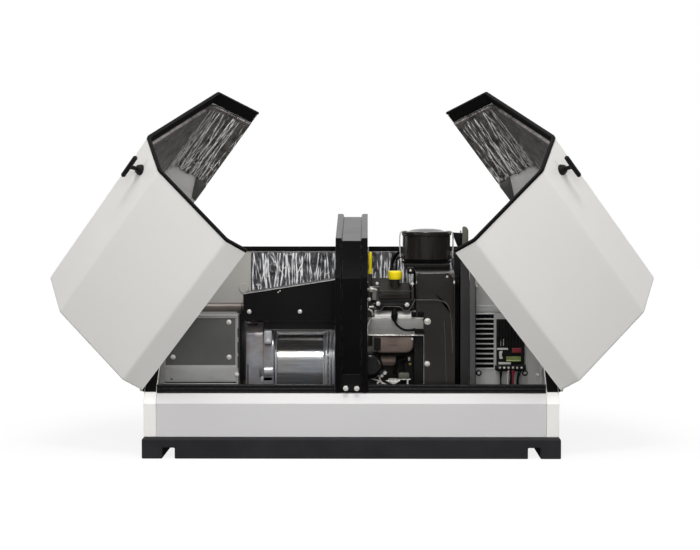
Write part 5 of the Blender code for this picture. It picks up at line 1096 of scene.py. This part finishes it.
wires = (("blackWires", "rubber", ((0.445, 0.003), (0.452, -0.004), (0.503, -0.006), (0.51, -0.01))),
    ("paleWires", "paleLabel", ((0.4715, -0.003),)), ("redWires", "redMould", ((0.481, 0.003),
    (0.489, -0.005), (0.485, 0.0))))
for wireName, finish, sways in wires:
    makePiece(wireName, [wire(x, sway) for x, sway in sways], finishes[finish], slot=slotOf["wire_loom"])
detail("panelGrommets", [turned((x, -0.0768, 0.2285), (0, -1, 0), [(0, 0), (0, 0.0088), (0.003, 0.0088),
    (0.004, 0.007), (0.003, 0.0056), (0.003, 0)], 28) for x in (0.383, 0.523)], "rubber", "wire_loom")
detail("panelBolts", [heads("pan", [(x, -0.079, 0.2285) for x in (0.383, 0.523)], radius=0.0048,
    height=0.004), heads("pan", [(0.5605, -0.0772, 0.222), (0.3765, -0.0772, 0.49),
    (0.5605, -0.0772, 0.49)], radius=0.005, height=0.003)], "zincScrew", "left_hinge_pin")
detail("panelFolds", [plate(rectangle(0.37, 0.564, 0.413, 0.4335), -0.079, -0.0765, 0.0008, 0.001),
    plate(rectangle(0.516, 0.533, 0.2, 0.412), -0.0782, -0.0765, 0.0006, 0.001),
    plate(rectangle(0.369, 0.3725, 0.2, 0.412), -0.08, -0.0765, 0.0006, 0.001)], "greySheet",
    "equipment_panel")
# A pale lip along each louvre slot: a painted highlight on its edge.
detail("louvreLips", [plate(rectangle(0.3735, 0.429, z, z + 0.0018), -0.0815, -0.076, 0.0005,
    0.0008) for z in 0.244 - 0.0018 + 0.015 * np.arange(12)], "panelPale", "equipment_panel")

# A black sheet behind the louvre slots: painted shade inside the cabinet.
detail("louvreShade", [block((0.3715, -0.044, 0.235), (0.4345, -0.042, 0.412), 0.0005, 0.001)], "foam",
    "left_lid_seal")
detail("airBaffle", [block((0.3215, -0.2145, 0.19), (0.3345, -0.1, 0.55), 0.001, 0.002),
    block((0.307, -0.101, 0.0665), (0.335, -0.099, 0.6), 0.0008, 0.001)], "blackCoat", "right_partition")
detail("baffleFlange", [block((0.3225, -0.217, 0.2), (0.3475, -0.2152, 0.57), 0.0006, 0.001)], "darkSheet",
    "right_partition")
detail("partitionStrip", [block((0.35, -0.2152, 0.195), (0.3662, -0.2135, 0.565), 0.0006, 0.001)],
    "midSheet", "right_partition")

# Cabinet edges: foam along the slopes of the end walls, lines along the sills, edging on the back wall, and the
# hinge leaves' screws.
slope = dict(angle=math.atan2(0.598 - 0.1915, 0.331 + 0.3145), start=(-0.3145, 0.1880))


# A strip along the slope: a softened bar turned about X so that it lies on the walls' tops.
def slopeStrip(x0, x1, start, stop, thick):
    points, quads = block((x0, start, 0), (x1, stop, thick), 0.0006, 0.0012)
    c, s = math.cos(slope["angle"]), math.sin(slope["angle"])
    y0, z0 = slope["start"]
    return np.stack([points[:, 0], y0 + points[:, 1] * c - points[:, 2] * s,
                     z0 + points[:, 1] * s + points[:, 2] * c], 1), quads


for label, side in (("left", -1), ("right", 1)):
    ends = sorted((side * 0.5715, side * 0.6035))
    detail(label + "WallFoam", [slopeStrip(ends[0], ends[1], 0.006, 0.722, 0.0024)], "foam", "left_lid_seal")
    xs = sorted((side * 0.568, side * 0.0505))
    detail(label + "SillLines", beads([[(xs[0], -0.3066, z), (xs[1], -0.3066,
        z)] for z in (0.1905, 0.2005, 0.2105)], 0.0008), "darkSheet", "left_sill")
    detail(label + "BackEdging", [block((xs[0], 0.2965, 0.586), (xs[1], 0.306, 0.6012), 0.0012, 0.003, 0)],
        "rubber", "left_sill")
    leafAt = np.linspace(0.10, 0.90, 7)[:, None]
    leafLine = np.array([side * 0.6193, -0.295, 0.185]) * (1 - leafAt) + np.array([side * 0.6193, 0.321,
        0.573]) * leafAt
    detail(label + "HingeScrews", [heads("pan", leafLine - (side * 0.0002, 0, 0.006), (side, 0, 0), 0.0045,
        0.0022)], "zincScrew", "left_hinge_pin")

# Back wall: a pressed hood over each opening, the cable gland, and rivets along its edges.
hood = dict(middles=(-0.35, 0.35), half=0.106, low=0.13, pitch=0.022, rows=8, reach=0.0090, wall=0.3030)


# One hood: a quarter of a rounded tunnel, open below, whose depth falls off at both ends.
def hoodPatch(middle, z):
    along = np.linspace(-1, 1, 25)
    share = np.sqrt(np.clip(1 - np.clip((np.abs(along) - 0.94) / 0.06, 0, 1) ** 2, 0, 1))[:, None]
    turn = np.linspace(0, math.pi / 2, 7)[None]
    x = np.broadcast_to(middle + along[:, None] * hood["half"], share.shape) + turn * 0
    y = hood["wall"] + hood["reach"] * share * np.sin(turn)[:, ::-1]
    up = z + 0.0015 + 0.0130 * np.cos(turn)[:, ::-1] + turn * 0
    return patch(np.stack([x, y + turn * 0, up + share * 0], 2))


hoods = [hoodPatch(middle,
    hood["low"] + hood["pitch"] * row) for middle in hood["middles"] for row in range(hood["rows"])]
detail("wallHoods", hoods, "whiteCoat", "back_wall", facing=(0.0, 0.29, 0.20), sheet=0.0008)
# A black sheet behind each set of hoods: painted shade seen through the openings.
detail("hoodShade", [block((middle - 0.11, 0.304, 0.126), (middle + 0.11, 0.3046, 0.308), 0.0002,
    0.0004) for middle in hood["middles"]], "foam", "left_lid_seal")
detail("cableGland", [turned((-0.349, 0.296, 0.468), (0, 1, 0), [(0, 0), (0, 0.015), (0.004, 0.0165),
    (0.0062, 0.0165), (0.009, 0.017), (0.012, 0.015), (0.018, 0.014), (0.018, 0.006), (0.015, 0)], 32, 0)],
    "bareWhite", "wire_loom")
rivetX = np.linspace(-0.545, 0.545, 12)
detail("wallRivets", [heads("pan", [(x, 0.303, z) for x in rivetX for z in (0.08, 0.575)], (0, 1, 0),
    0.0042, 0.002)], "zincScrew", "left_hinge_pin")
print("details made")


# Stage: the camera, soft lamps and a pale floor that keeps the object's shadow.
stage = dict(cameraPlace=(0.059, -6.689, 0.788), cameraTurn=(90 - 2.279, 0.0, 0.564), lens=112.66,
    ambient=0.25, frontGloss=0.1, sideGloss=0.75, floorColour=(0.16, 0.16, 0.16), liftNear=0.86,
    liftFar=1.0, mirrored=("key", "leftStrip", "rightStrip"), lamps={"key": ((0.0, -3.1, 4.9), (0, 0, 0.45),
    1.5, 120.0), "top": ((0.0, -0.9, 3.8), (0, 0, 0.4), 1.8, 26.0), "front": ((0.0, -5.4, 2.2), (0, 0, 0.6),
    2.6, 104.0), "inner": ((0.0, -2.7, 0.75), (0, 0, 0.75), 0.8, 8.0), "leftStrip": ((-3.6, -2.6, 1.6),
    (0, 0, 0.5), 1.0, 15.0), "rightStrip": ((3.6, -2.6, 1.6), (0, 0, 0.5), 1.0, 15.0)})


def buildStage():
    scene = bpy.context.scene
    scene.view_settings.view_transform = "Standard"
    camera = bpy.data.objects.new("camera", bpy.data.cameras.new("camera"))
    scene.collection.objects.link(camera)
    camera.location = stage["cameraPlace"]
    camera.rotation_euler = [math.radians(a) for a in stage["cameraTurn"]]
    camera.data.lens, camera.data.sensor_width = stage["lens"], 36.0
    camera.data.clip_end = 100.0
    scene.camera = camera
    for name, (place, aim, size, power) in stage["lamps"].items():
        lamp = bpy.data.lights.new(name, "AREA")
        lamp.shape, lamp.size, lamp.energy = "SQUARE", size, power
        obj = bpy.data.objects.new(name, lamp)
        scene.collection.objects.link(obj)
        obj.location = place
        obj.visible_camera = False
        obj.visible_glossy = name in stage["mirrored"]
        obj.rotation_euler = (Vector(aim) - Vector(place)).to_track_quat("-Z", "Y").to_euler()
    world = bpy.data.worlds.new("whiteRoom")
    scene.world = world
    world.use_nodes = True
    tree = world.node_tree
    back = tree.nodes["Background"]
    back.inputs["Color"].default_value = (1, 1, 1, 1)
    path = node(tree, "ShaderNodeLightPath").outputs
    heading = node(tree, "ShaderNodeSeparateXYZ", {0: node(tree, "ShaderNodeTexCoord").outputs["Generated"]})
    gloss = ranged(tree, heading.outputs["Y"], -0.35, 0.30, stage["frontGloss"], 1.0, True)
    side = calc(tree, "MULTIPLY", ranged(tree, calc(tree, "ABSOLUTE", heading.outputs["X"]), 0.72, 0.9,
        smooth=True), stage["sideGloss"])
    gloss = calc(tree, "MAXIMUM", gloss, side)
    gloss = calc(tree, "MULTIPLY", calc(tree, "MAXIMUM", path["Is Glossy Ray"],
        path["Is Transmission Ray"]), gloss)
    seen = calc(tree, "MAXIMUM", calc(tree, "MAXIMUM", path["Is Camera Ray"], gloss), stage["ambient"])
    tree.links.new(seen, back.inputs["Strength"])
    floorMesh = bpy.data.meshes.new("floor")
    t = np.linspace(-14, 14, 3)
    points, quads = patch(np.stack([*np.meshgrid(t, t, indexing="ij"), np.zeros((3, 3))], 2))
    floorMesh.from_pydata(points.tolist(), [], quads.tolist())
    floor = bpy.data.objects.new("floor", floorMesh)
    scene.collection.objects.link(floor)
    paper = bpy.data.materials.new("paper")
    paper.use_nodes = True
    tree = paper.node_tree
    shader = tree.nodes["Principled BSDF"]
    shader.inputs["Base Color"].default_value = (*stage["floorColour"], 1)
    shader.inputs["Roughness"].default_value = 0.9
    shader.inputs["Specular IOR Level"].default_value = 0.0
    path = node(tree, "ShaderNodeLightPath").outputs
    shader.inputs["Emission Color"].default_value = (1, 1, 1, 1)
    seen = calc(tree, "MAXIMUM", path["Is Camera Ray"], calc(tree, "MULTIPLY", path["Is Glossy Ray"],
        stage["frontGloss"]))
    place = node(tree, "ShaderNodeTexCoord").outputs["Object"]
    away = node(tree, "ShaderNodeVectorMath", {0: place}, operation="LENGTH").outputs["Value"]
    lift = ranged(tree, away, 0.9, 2.4, stage["liftNear"], stage["liftFar"], True)
    tree.links.new(calc(tree, "MULTIPLY", seen, lift), shader.inputs["Emission Strength"])
    floorMesh.materials.append(paper)


buildStage()
print("scene made")
